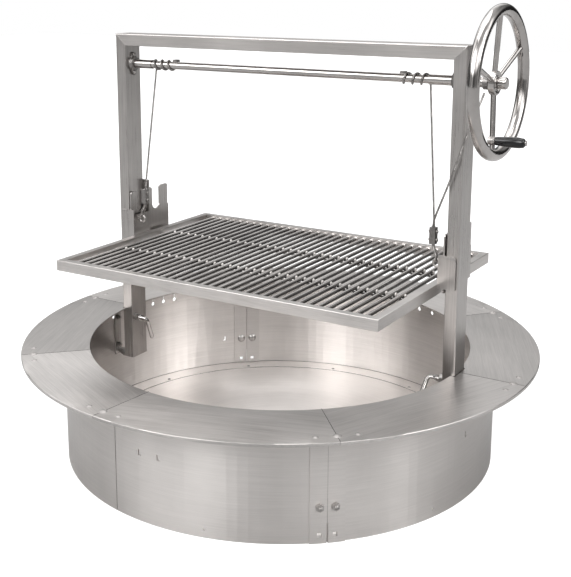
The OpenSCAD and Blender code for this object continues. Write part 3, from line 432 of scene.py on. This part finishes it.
WALL_STEEL = steel("rolled_wall_steel", warm(0.5), warm(0.6), 0.34, 0.42,
                   grain="wall", along=5.0, across=620.0, stretch=0.88, bump=0.03)
# The wall's own steel made lighter for its inner face: painted light
INNER_WALL_LIT_STEEL = steel("inner_wall_painted_light_steel", warm(0.54), warm(0.68), 0.36, 0.44,
                         grain="wall", along=5.0, across=620.0, stretch=0.85, bump=0.03)
# The spun floor is made far lighter than the rest of the steel: painted light for the overhead light it
# catches
FLOOR_LIT_STEEL = steel("spun_floor_painted_light_steel", warm(0.78), warm(0.92), 0.3, 0.42,
                    grain="round", along=2.0, across=900.0, stretch=0.85, bump=0.02)
UPRIGHT_STEEL = steel("upright_tube_steel", warm(0.3), warm(0.48), 0.24, 0.36, grain="z",
                      stretch=0.4, bump=0.03)
LEVEL_STEEL = steel("level_tube_steel", warm(0.4), warm(0.52), 0.26, 0.36, grain="x",
                    stretch=0.3, bump=0.03)
RAIL_STEEL = steel("grate_rail_steel", warm(0.42), warm(0.58), 0.28, 0.4, grain="level", along=30.0,
                   stretch=0.5, bump=0.03)
# The rods' undersides are painted darker as shade, down to this share of their colour
ROD_STEEL = steel("grate_rod_steel", warm(0.3), warm(0.56), 0.18, 0.32,
                  grain="y", along=20.0, stretch=0.0, shade_below=0.08)
BRIGHT_STEEL = steel("polished_steel", warm(0.33), warm(0.46), 0.07, 0.18,
                     grain="none", across=40.0, bump=0.02, stretch=0.0)
SHAFT_STEEL = steel("ground_shaft_steel", warm(0.32), warm(0.48), 0.1, 0.2,
                    grain="x", across=500.0, stretch=0.3)
FASTENER_STEEL = steel("fastener_steel", warm(0.3), warm(0.46), 0.26, 0.4,
                       grain="none", across=300.0, stretch=0.0)
SCREW_STEEL = steel("brushed_screw_steel", warm(0.3), warm(0.4), 0.5, 0.62,
                    grain="none", across=300.0, stretch=0.0)
DULL_STEEL = steel("dull_cast_steel", warm(0.14), warm(0.28), 0.3, 0.5,
                   grain="none", across=500.0, bump=0.2, stretch=0.0)
# Near-black steel for the hairlines: painted shade in the gaps between sheets
GAP_SHADE_STEEL = steel("painted_gap_shade_steel", warm(0.03), warm(0.08), 0.5, 0.7,
                  grain="none", across=300.0, bump=0.1, stretch=0.0)
ROPE_STEEL = steel("rope_wire_steel", warm(0.22), warm(0.38), 0.25, 0.4,
                   grain="none", across=900.0, stretch=0.0)
# Lighter than the rods: the beads are real, their brightness is a painted highlight
WELD_GLINT_STEEL = steel("weld_bead_glint_steel", warm(0.5), warm(0.75), 0.2, 0.36,
                   grain="none", across=900.0, bump=0.15, stretch=0.0)

# Degrees round the ring where the flange's sheets meet, and how light each sheet is made:
# partly a real difference between the sheets, partly painted reflection and shade
FLANGE_SEAMS = (0, 50, 91, 132, 180, 225, 264, 312, 360)
FLANGE_TONE_AND_REFLECTION = (0.94, 1.0, 0.96, 1.0, 0.9, 1.1, 0.92, 1.04)


def flange_steel(i):
    """The steel of one flange sheet, its grain square to the sheet's middle line."""
    middle_angle = math.radians((FLANGE_SEAMS[i] + FLANGE_SEAMS[i + 1]) / 2)
    # The sheet's lightness, partly its own and partly painted reflection
    tone = FLANGE_TONE_AND_REFLECTION[i]
    return steel("flange_steel_%d" % (i + 1), warm(0.36 * tone), warm(0.56 * tone), 0.26, 0.4,
                 grain="x", turn=middle_angle + math.pi / 2, along=14.0, across=520.0, stretch=0.6,
                 clouds=5.0, bump=0.03)


def make_grip_plastic():
    """Black plastic with a fine speckle in its gloss."""
    material, tree, shader, place = empty_material("grip_plastic")
    shader.inputs["Base Color"].default_value = GRIP_BLACK
    speckle = noise_node(tree, place, 900.0, 2.0)
    tree.links.new(range_node(tree, speckle, *ROUGH_RANGE, *GRIP_ROUGHNESS), shader.inputs["Roughness"])
    shader.inputs["Specular IOR Level"].default_value = 0.4
    return material


GRIP_PLASTIC = make_grip_plastic()
print("materials:", len(bpy.data.materials))

# %% [markdown]
# Each solid gets the steel that is listed for its name, or else the one for
# its material slot in the imported record. The eight sheets of the flange get a
# steel each, because each is ground square to its own middle line; each also
# gets its own lightness, partly painted reflection. The wall's inner face is the
# same steel made lighter on the same piece: painted light for the brightness
# inside the ring. The ropes wait, because their strands are laid in a later step.

# %% Give every solid its finish
FINISH = {"grate_frame": RAIL_STEEL, "flange_screws": SCREW_STEEL}
for pair in ("post", "post_bracket", "cradle_plate", "post_guide"):
    for end in ("_left", "_right"):
        FINISH[pair + end] = UPRIGHT_STEEL
for i in range(len(FLANGE_TONE_AND_REFLECTION)):
    FINISH["flange_segment_%d" % (i + 1)] = flange_steel(i)
SLOT_FINISH = {
    "brushed_sheet": WALL_STEEL, "frame_steel": LEVEL_STEEL, "floor_steel": FLOOR_LIT_STEEL,
    "grate_rods": ROD_STEEL, "shaft_steel": SHAFT_STEEL, "polished_steel": BRIGHT_STEEL,
    "fastener_steel": FASTENER_STEEL, "cast_bearing": DULL_STEEL, "grip_plastic": GRIP_PLASTIC,
}
LAID_LATER = ("rope_winding_left", "rope_winding_right", "lift_rope_left", "lift_rope_right",
              "rope_tail_right", "rope_loops")
for node in frame["nodes"]:
    if node in LAID_LATER:
        continue
    finished = dress(node, FINISH.get(node) or SLOT_FINISH[NODE_SLOT[node]])
    # The inner faces take the lighter copy, painted light for the inside of the ring
    if node.startswith("wall_half"):
        finished.data.materials.append(INNER_WALL_LIT_STEEL)
        for face in finished.data.polygons:
            if face.normal.x * face.center.x + face.normal.y * face.center.y < 0:
                face.material_index = 1
print("solids dressed:", len(frame["nodes"]) - len(LAID_LATER))

# %% [markdown]
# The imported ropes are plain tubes, and their routes are repeated here for the
# right side. A rope winds three turns on the shaft, slants down to its clip
# and ends there. A loop runs from the clip round the eye bolt and back, and
# the free end climbs from the clip to the shaft behind the wheel. The places
# of the shaft and the clip are taken from their boxes.

# %% Rope routes
ROPE_RADIUS = 0.002
SHAFT_Z = middle("winch_tube").z
WINDING_RADIUS = 0.0101
WINDING_X = 0.3191
WINDING_PITCH = 0.018
WINDING_TURNS = 3
STEPS_IN_TURN = 24
CLIP_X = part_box("lift_rope_right")[1].x - ROPE_RADIUS
CLIP_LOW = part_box("rope_clips")[0].z
CLIP_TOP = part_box("rope_clips")[1].z
EYE_X = 0.353
EYE_Y = middle("rope_clips").y
# Half the distance between the two ropes in the clip, and the bend of the loop under the eye
ROPE_ASIDE = 0.0022
LOOP_RADIUS = 0.0048
LOOP_Z = 0.4477
LOOP_SIDE_STEPS = 6
LOOP_BEND_STEPS = 12
TAIL_BELOW_SHAFT = 0.0172


def on_drum(turn):
    """Point of the winding after so many turns from its outer end."""
    angle = 2 * math.pi * turn
    return Vector((WINDING_X - turn * WINDING_PITCH, WINDING_RADIUS * math.cos(angle),
                   SHAFT_Z + WINDING_RADIUS * math.sin(angle)))


LIFT_KNEE = Vector((CLIP_X, EYE_Y + ROPE_ASIDE, CLIP_TOP + 2 * ROPE_RADIUS))
LIFT_TOP = on_drum(0) + 2 * ROPE_RADIUS * (LIFT_KNEE - on_drum(0)).normalized()
LIFT_ROUTE = [LIFT_TOP, LIFT_KNEE, LIFT_KNEE - Vector((0, 0, 2 * ROPE_RADIUS))]
WINDING_ROUTE = [LIFT_TOP]
WINDING_ROUTE += [on_drum(i / STEPS_IN_TURN) for i in range(STEPS_IN_TURN * WINDING_TURNS + 1)]
WINDING_ROUTE.append(WINDING_ROUTE[-1] + Vector((0, 0, 2 * ROPE_RADIUS)))


def loop_side(share, side):
    """Point between clip and eye on one side of the loop: share 0 at the clip, 1 at the eye."""
    swing = (1 - math.cos(math.pi * share)) / 2
    return Vector((CLIP_X + (EYE_X - CLIP_X) * swing,
                   EYE_Y + side * (ROPE_ASIDE + (LOOP_RADIUS - ROPE_ASIDE) * swing),
                   CLIP_LOW + (LOOP_Z - CLIP_LOW) * share))


def loop_bend(share):
    """Point of the half circle under the eye, from share 0 on one side to 1 on the other."""
    angle = math.pi * share
    return Vector((EYE_X, EYE_Y + LOOP_RADIUS * math.cos(angle), LOOP_Z - LOOP_RADIUS * math.sin(angle)))


LOOP_ROUTE = [Vector((CLIP_X, EYE_Y + ROPE_ASIDE, CLIP_TOP))]
LOOP_ROUTE += [loop_side(i / LOOP_SIDE_STEPS, 1) for i in range(LOOP_SIDE_STEPS)]
LOOP_ROUTE += [loop_bend(i / LOOP_BEND_STEPS) for i in range(LOOP_BEND_STEPS + 1)]
LOOP_ROUTE += [loop_side(1 - i / LOOP_SIDE_STEPS, -1) for i in range(1, LOOP_SIDE_STEPS + 1)]
LOOP_ROUTE.append(Vector((CLIP_X, EYE_Y - ROPE_ASIDE, CLIP_TOP)))

# The free end's points: x and y from the clip in metres, and height as a share of its rise
TAIL_RISE = SHAFT_Z - TAIL_BELOW_SHAFT - CLIP_TOP
TAIL_STEPS = (
    (0, 0, 0), (0, 0, 2 * ROPE_RADIUS / TAIL_RISE), (0.005, -0.010, 0.06), (0.014, -0.020, 0.125),
    (0.028, -0.024, 0.255), (0.040, -0.024, 0.38), (0.052, -0.024, 0.52), (0.064, -0.023, 0.665),
    (0.076, -0.020, 0.81), (0.086, -0.013, 0.925), (0.091, -0.006, 1),
)
TAIL_START = Vector((CLIP_X, EYE_Y - ROPE_ASIDE, CLIP_TOP))
TAIL_ROUTE = [TAIL_START + Vector((x, y, z * TAIL_RISE)) for x, y, z in TAIL_STEPS]
LIFT_LENGTH = sum((b - a).length for a, b in zip(LIFT_ROUTE, LIFT_ROUTE[1:]))
print("lift rope in mm:", round(LIFT_LENGTH * 1000))

# %% [markdown]
# A wire rope is six strands laid round a straight core, and its twist is what
# the eye reads as rope. So each packed rope is replaced by seven fine tubes:
# their middle lines are helices round the rope's route, drawn as splines of
# one curve, which a round bevel turns into a mesh. The two lift ropes and the
# free end get shorter when the grate rises; here they are laid in place and
# ride on no body.

# %% Lay the strands
STRANDS = 6
STRAND_RADIUS = ROPE_RADIUS / 3
LAY_LENGTH = 0.024
ROPE_STEP = 0.002


def even_steps(route, step):
    """The route again, in equal short steps."""
    points = [route[0].copy()]
    left = step
    for a, b in zip(route, route[1:]):
        length = (b - a).length
        while left <= length:
            points.append(a.lerp(b, left / length))
            left += step
        left -= length
    points.append(route[-1].copy())
    return points


def lay_rope(name, route, side, body, node):
    """Seven strands along a route; side -1 mirrors it to the left."""
    points = [Vector((side * p.x, p.y, p.z)) for p in even_steps(route, ROPE_STEP)]
    lines = bpy.data.curves.new(name + "_lines", "CURVE")
    lines.dimensions = "3D"
    lines.bevel_depth = STRAND_RADIUS
    lines.bevel_resolution = 1
    lines.use_fill_caps = True
    normal = Vector((0, 1, 0))
    rings = []
    for i, point in enumerate(points):
        ahead = (points[min(i + 1, len(points) - 1)] - points[max(i - 1, 0)]).normalized()
        normal = (normal - normal.dot(ahead) * ahead).normalized()
        rings.append((point, normal.copy(), ahead.cross(normal)))
    for strand in range(STRANDS + 1):
        reach = 0 if strand == STRANDS else ROPE_RADIUS - STRAND_RADIUS
        spline = lines.splines.new("POLY")
        spline.points.add(len(rings) - 1)
        for i, (point, across, over) in enumerate(rings):
            turn = 2 * math.pi * (strand / STRANDS + i * ROPE_STEP / LAY_LENGTH)
            place = point + reach * (math.cos(turn) * across + math.sin(turn) * over)
            spline.points[i].co = (*place, 1)
    drawn = bpy.data.objects.new(name + "_lines", lines)
    scene.collection.objects.link(drawn)
    mesh = bpy.data.meshes.new_from_object(drawn.evaluated_get(bpy.context.evaluated_depsgraph_get()))
    bpy.data.objects.remove(drawn)
    bm = bmesh.new()
    bm.from_mesh(mesh)
    bpy.data.meshes.remove(mesh)
    for face in bm.faces:
        face.smooth = True
    rope = link_piece(bm, name, body, ROPE_STEEL)
    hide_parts(node)
    return rope


def shorten(rope):
    """Bakes a rope's place into its mesh; the rope rides on no body."""
    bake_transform(rope)


for side, word in ((-1, "left"), (1, "right")):
    lay_rope("laid_winding_" + word, WINDING_ROUTE, side, "winch", "rope_winding_" + word)
    lift = lay_rope("laid_lift_rope_" + word, LIFT_ROUTE, side, None, "lift_rope_" + word)
    shorten(lift)
    lay_rope("laid_loop_" + word, LOOP_ROUTE, side, "carriage", "rope_loops")
tail = lay_rope("laid_rope_tail", TAIL_ROUTE, 1, None, "rope_tail_right")
shorten(tail)

# %% [markdown]
# The grate is welded: a small bead joins each bar to the rails at both ends,
# and two beads join it to each cross rod, a third of the depth from the front
# and the back. Their steel is lighter than the rods', a painted highlight, so
# that they show as the bright dots that run across the grate. One bead is a
# ball of few faces, flattened where it lies, and all of them form one piece.

# %% Weld beads of the grate
BARS = 35
RAIL_WIDTH = 0.015
BEAD_SIDES = 8
BEAD_RINGS = 5
# Half sizes of a bead at a bar's end, and how far it lies from the rail's inner face
END_BEAD = (0.0052, 0.0022, 0.0048)
END_BEAD_OFF = 0.0008
# Half sizes of a bead at a cross rod, and how far it lies beside the bar and below its middle
ROD_BEAD = (0.0029, 0.0042, 0.0042)
ROD_BEAD_ASIDE = 0.0043
ROD_BEAD_DROP = 0.0018


def add_bead(bm, place, size):
    """One flattened ball."""
    bmesh.ops.create_uvsphere(bm, u_segments=BEAD_SIDES, v_segments=BEAD_RINGS, radius=1.0,
                              matrix=Matrix.Translation(place) @ Matrix.Diagonal((*size, 1)))


def weld_grate():
    """All beads of the grate, placed from the boxes of its frame and its bars."""
    bm = bmesh.new()
    low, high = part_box("grate_frame")
    bar_z = middle("grate_bars").z
    rail_in = high.x - RAIL_WIDTH
    pitch = 2 * rail_in / (BARS + 1)
    for i in range(1, BARS + 1):
        x = -rail_in + i * pitch
        for y in (low.y + RAIL_WIDTH + END_BEAD_OFF, high.y - RAIL_WIDTH - END_BEAD_OFF):
            add_bead(bm, (x, y, bar_z), END_BEAD)
        for third in (1, 2):
            y = low.y + (high.y - low.y) * third / 3
            for side in (-1, 1):
                add_bead(bm, (x + side * ROD_BEAD_ASIDE, y, bar_z - ROD_BEAD_DROP), ROD_BEAD)
    for face in bm.faces:
        face.smooth = True
    return link_piece(bm, "grate_weld_beads", "carriage", WELD_GLINT_STEEL)


print("bead faces:", len(weld_grate().data.polygons))

# %% [markdown]
# Corners of the frame are mitred, welded and ground flush. What stays is a
# line a little brighter than the tube, drawn here as a flat bar with rounded
# edges that stands a hair proud. The strap over each wall joint shows the same
# kind of line up its middle, between its two slits.

# %% Ground weld lines
LINE_PROUD = 0.00025
LINE_EDGE = 0.8 * LINE_PROUD
MITRE_LINE_WIDTH = 0.0012
STRAP_LINE_WIDTH = 0.0011
STRAP_ANGLES = (312, 132)
STRAP_FACE = 0.4495
STRAP_LINE_LOW = 0.039
STRAP_LINE_TOP = 0.210


def outwards_at(degrees):
    """The level direction away from the ring's axis at an angle."""
    return Vector((math.cos(math.radians(degrees)), math.sin(math.radians(degrees)), 0))


def add_line(bm, start, end, width, outwards):
    """A flat rounded bar from start to end that stands LINE_PROUD out of a face."""
    start = Vector(start)
    end = Vector(end)
    outwards = Vector(outwards).normalized()
    along = (end - start).normalized()
    frame_axes = Matrix((along, outwards.cross(along), outwards)).transposed().to_4x4()
    place = Matrix.Translation((start + end) / 2) @ frame_axes
    size = Matrix.Diagonal(((end - start).length, width, 2 * LINE_PROUD, 1))
    made = bmesh.ops.create_cube(bm, size=1.0, matrix=place @ size)
    edges = dict.fromkeys(edge for vert in made["verts"] for edge in vert.link_edges)
    bmesh.ops.bevel(bm, geom=list(edges), offset=LINE_EDGE, segments=2, profile=0.5,
                    affect="EDGES", material=-1)


def add_upright_line(bm, radius, degrees, low, top, width):
    """A line up a round face."""
    outwards = outwards_at(degrees)
    foot = radius * outwards
    add_line(bm, foot + Vector((0, 0, low)), foot + Vector((0, 0, top)), width, outwards)


def ground_lines():
    """The lines of the frame's two mitres, before and behind, and of the two wall straps."""
    bm = bmesh.new()
    low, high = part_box("post_right")
    beam_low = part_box("crossbeam")[0].z
    for side in (-1, 1):
        for y in (low.y, high.y):
            add_line(bm, (side * high.x, y, high.z), (side * low.x, y, beam_low),
                     MITRE_LINE_WIDTH, (0, y, 0))
    for degrees in STRAP_ANGLES:
        add_upright_line(bm, STRAP_FACE, degrees, STRAP_LINE_LOW, STRAP_LINE_TOP, STRAP_LINE_WIDTH)
    return link_piece(bm, "ground_weld_lines", "fire_ring_and_frame", FASTENER_STEEL)


print("ground line faces:", len(ground_lines().data.polygons))

# %% [markdown]
# Sheets that meet leave a gap too narrow for light to leave again, and it
# reads as a dark hairline. Here that shade is painted: near-black flat bars and
# spun rings, less than a millimetre wide, stand a hair proud between the
# flange's eight sheets, in the weld groove of the wall, and along both edges of
# the floor's ledge. The boxes of the sheets say where most of them begin and end.

# %% Hairlines of painted shade
GAP_WIDTH = 0.0009
FLANGE_INNER = 0.395
FLANGE_ROUNDING = 0.0024
GROOVE_ANGLE = 259
GROOVE_FLOOR = 0.4461
GROOVE_INSET = 0.002
LEDGE_INNER = 0.4047
LEDGE_INSET = 0.0003
LEDGE_GAP_RISE = 0.0002
RING_STEPS = 160


def add_ring(bm, radius, height):
    """A flat hairline round the ring's axis, spun from a small rectangle."""
    corners = [bm.verts.new((radius + a * GAP_WIDTH / 2, 0, height + b * LINE_PROUD))
               for a, b in ((-1, -1), (1, -1), (1, 1), (-1, 1))]
    sides = [bm.edges.new((corners[i], corners[(i + 1) % 4])) for i in range(4)]
    bmesh.ops.spin(bm, geom=corners + sides, cent=(0, 0, 0), axis=(0, 0, 1), angle=2 * math.pi,
                   steps=RING_STEPS, use_merge=True)


def seam_shade_lines():
    """All hairlines of painted shade as one piece."""
    bm = bmesh.new()
    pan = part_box("floor_pan")[1]
    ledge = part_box("floor_ledge")[1]
    add_ring(bm, LEDGE_INNER, pan.z + LEDGE_GAP_RISE)
    add_ring(bm, ledge.x - LEDGE_INSET, ledge.z + LEDGE_GAP_RISE)
    below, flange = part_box("flange_segment_1")
    add_upright_line(bm, GROOVE_FLOOR, GROOVE_ANGLE, GROOVE_INSET, below.z - GROOVE_INSET, GAP_WIDTH)
    top = Vector((0, 0, flange.z))
    for degrees in FLANGE_SEAMS[:-1]:
        outwards = outwards_at(degrees)
        add_line(bm, FLANGE_INNER * outwards + top, (flange.x - FLANGE_ROUNDING) * outwards + top,
                 GAP_WIDTH, (0, 0, 1))
    bmesh.ops.remove_doubles(bm, verts=bm.verts, dist=MERGE_DISTANCE)
    bmesh.ops.recalc_face_normals(bm, faces=bm.faces)
    return link_piece(bm, "seam_shade_lines", "fire_ring_and_frame", GAP_SHADE_STEEL)


print("hairline faces:", len(seam_shade_lines().data.polygons))

# %% [markdown]
# The rope clips are small cast bodies with two bolts each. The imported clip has
# the body and the bolts' rods, so nuts on one side and round heads on the
# other are added on those rods, with a washer under each.

# %% Clip nuts
CLIP_HALF = 0.006
CLIP_BOLTS = (CLIP_LOW + 0.008, CLIP_LOW + 0.024)
WASHER_SIDES = 16
WASHER_RADIUS = 0.0036
WASHER_DEPTH = 0.0006
NUT_SIDES = 6
HEAD_SIDES = 12
NUT_RADIUS = 0.0033
NUT_DEPTH = 0.0024
NUT_TURN = 0.3
# Edges between faces that meet at more than this angle are broken, by a share of the depth
RIM_ANGLE = 1.4
RIM_SHARE = 0.15


def add_turned(bm, place, sides, radius, depth, axis_turn):
    """A short nut, head or washer along X, its rims broken."""
    turn = Matrix.Rotation(math.pi / 2, 4, "Y") @ Matrix.Rotation(axis_turn, 4, "Z")
    made = bmesh.ops.create_cone(bm, cap_ends=True, segments=sides, radius1=radius, radius2=radius,
                                 depth=depth, matrix=Matrix.Translation(place) @ turn)
    edges = dict.fromkeys(edge for vert in made["verts"] for edge in vert.link_edges)
    rims = [edge for edge in edges if edge.calc_face_angle() > RIM_ANGLE]
    bmesh.ops.bevel(bm, geom=rims, offset=RIM_SHARE * depth, segments=1, profile=0.5,
                    affect="EDGES", material=-1)


def clip_nuts():
    """A washer and a nut or head at both ends of both bolts of each clip."""
    bm = bmesh.new()
    for side in (-1, 1):
        for z in CLIP_BOLTS:
            for end, sides in ((-1, NUT_SIDES), (1, HEAD_SIDES)):
                x = side * CLIP_X + end * CLIP_HALF
                add_turned(bm, (x + end * WASHER_DEPTH / 2, EYE_Y, z),
                           WASHER_SIDES, WASHER_RADIUS, WASHER_DEPTH, 0)
                add_turned(bm, (x + end * (WASHER_DEPTH + NUT_DEPTH / 2), EYE_Y, z),
                           sides, NUT_RADIUS, NUT_DEPTH, NUT_TURN)
    return link_piece(bm, "rope_clip_nuts", "carriage", FASTENER_STEEL)


print("clip nut faces:", len(clip_nuts().data.polygons))

# %% [markdown]
# Brushed steel shows what stands round it more than it shows its own colour.
# The studio is a white floor, a pale ceiling and, round the horizon, a
# panorama of soft panels with dimmer gaps between them: a colour ramp over the
# direction's angle makes it. The panels draw the tall pale bands on the rolled
# wall. Rays from the camera see plain white instead.

# %% Studio
FLOOR_HALF = 12.0
FLOOR_TONE = 0.36
FLOOR_ROUGHNESS = 0.9
FLOOR_GLOW = 0.72
MIRRORED_GLOW = 0.08
# Angle round the horizon as a share of a turn from -X, and how bright a panel is there
PANELS = (
    (0.0, 0.16), (0.023, 0.24), (0.05, 0.14), (0.08, 0.08), (0.112, 0.2), (0.142, 0.62), (0.167, 0.5),
    (0.192, 0.34), (0.216, 0.48), (0.241, 1.0), (0.266, 0.36), (0.292, 0.18), (0.33, 0.1), (0.367, 0.26),
    (0.392, 0.2), (0.417, 0.42), (0.455, 0.24), (0.492, 0.3), (0.516, 0.9), (0.541, 0.32), (0.565, 0.16),
    (0.60, 0.24), (0.637, 0.06), (0.685, 0.03), (0.73, 0.02), (0.775, 0.09), (0.82, 0.13), (0.87, 0.1),
    (0.905, 0.2), (0.945, 0.08),
)
# How bright the panels are low down and higher up, and between which heights that changes
PANEL_FOOT = 1.0
PANEL_STRENGTH = 13.0
PANEL_EDGE = (0.22, 0.42)
# The ceiling takes over from the panels between these heights
CEILING_EDGE = (0.6, 0.8)
CEILING_STRENGTH = 0.85
# Name, place, point it looks at, width and height in metres, and watts
LAMPS = (
    ("lamp_left", (-1.9, -2.2, 2.5), (0, 0, 0.35), (1.2, 1.2), 12),
    ("lamp_right", (2.6, 0.3, 1.9), (0, 0, 0.35), (0.5, 1.4), 5),
    ("lamp_top", (-0.3, 0.2, 2.9), (0, 0, 0.3), (2.2, 2.2), 42),
)


def add_floor():
    """The floor: seen by the camera it glows white, and in the steel it stays dim."""
    bm = bmesh.new()
    bmesh.ops.create_grid(bm, x_segments=1, y_segments=1, size=FLOOR_HALF)
    mesh = bpy.data.meshes.new("studio_floor")
    bm.to_mesh(mesh)
    bm.free()
    floor = bpy.data.objects.new("studio_floor", mesh)
    scene.collection.objects.link(floor)
    material = bpy.data.materials.new("studio_floor_white")
    material.use_nodes = True
    tree = material.node_tree
    output = tree.nodes["Material Output"]
    shader = tree.nodes["Principled BSDF"]
    shader.inputs["Base Color"].default_value = (FLOOR_TONE, FLOOR_TONE, FLOOR_TONE, 1)
    shader.inputs["Roughness"].default_value = FLOOR_ROUGHNESS
    glow = tree.nodes.new("ShaderNodeEmission")
    ray = tree.nodes.new("ShaderNodeLightPath")
    mirrored = math_node(tree, "MAXIMUM", ray.outputs["Is Glossy Ray"],
                         ray.outputs["Is Transmission Ray"])
    to_camera = math_node(tree, "MULTIPLY", ray.outputs["Is Camera Ray"], FLOOR_GLOW)
    to_steel = math_node(tree, "MULTIPLY", mirrored, MIRRORED_GLOW)
    seen = math_node(tree, "ADD", to_camera, to_steel)
    tree.links.new(seen, glow.inputs["Strength"])
    add = tree.nodes.new("ShaderNodeAddShader")
    tree.links.new(shader.outputs[0], add.inputs[0])
    tree.links.new(glow.outputs[0], add.inputs[1])
    tree.links.new(add.outputs[0], output.inputs["Surface"])
    mesh.materials.append(material)


def add_lamp(name, place, target, size, power):
    """A soft rectangular lamp that looks at a point."""
    data = bpy.data.lights.new(name, "AREA")
    data.shape = "RECTANGLE"
    data.size, data.size_y = size
    data.energy = power
    lamp = bpy.data.objects.new(name, data)
    lamp.location = place
    lamp.rotation_euler = (Vector(target) - Vector(place)).to_track_quat("-Z", "Y").to_euler()
    scene.collection.objects.link(lamp)


def set_world():
    """Panels round the horizon and a pale ceiling, which only the steel sees."""
    world = bpy.data.worlds.new("studio_world")
    scene.world = world
    world.use_nodes = True
    tree = world.node_tree
    back = tree.nodes["Background"]
    back.inputs["Color"].default_value = (1, 1, 1, 1)
    direction = tree.nodes.new("ShaderNodeTexCoord").outputs["Generated"]
    angle = tree.nodes.new("ShaderNodeTexGradient")
    angle.gradient_type = "RADIAL"
    tree.links.new(direction, angle.inputs["Vector"])
    ramp = tree.nodes.new("ShaderNodeValToRGB")
    ramp.color_ramp.interpolation = "EASE"
    for i, (share, value) in enumerate(PANELS):
        stop = ramp.color_ramp.elements[0] if i == 0 else ramp.color_ramp.elements.new(share)
        stop.position = share
        stop.color = (value, value, value, 1)
    last = ramp.color_ramp.elements[-1]
    last.position = 1.0
    last.color = (PANELS[0][1],) * 3 + (1,)
    tree.links.new(angle.outputs["Fac"], ramp.inputs["Fac"])
    split = tree.nodes.new("ShaderNodeSeparateXYZ")
    tree.links.new(direction, split.inputs[0])
    rise = range_node(tree, split.outputs["Z"], *PANEL_EDGE, PANEL_FOOT, PANEL_STRENGTH)
    walls = math_node(tree, "MULTIPLY", ramp.outputs["Color"], rise)
    high = range_node(tree, split.outputs["Z"], *CEILING_EDGE, 0.0, 1.0)
    ceiling = math_node(tree, "MULTIPLY", high, CEILING_STRENGTH)
    low = math_node(tree, "MULTIPLY", walls, math_node(tree, "SUBTRACT", 1.0, high))
    ray = tree.nodes.new("ShaderNodeLightPath")
    surroundings = math_node(tree, "ADD", low, ceiling)
    unseen = math_node(tree, "SUBTRACT", 1.0, ray.outputs["Is Camera Ray"])
    strength = math_node(tree, "ADD", ray.outputs["Is Camera Ray"],
                         math_node(tree, "MULTIPLY", surroundings, unseen))
    tree.links.new(strength, back.inputs["Strength"])


add_floor()
set_world()
for lamp in LAMPS:
    add_lamp(*lamp)
scene.view_settings.view_transform = "Standard"
print("lamps:", [lamp.name for lamp in bpy.data.lights])
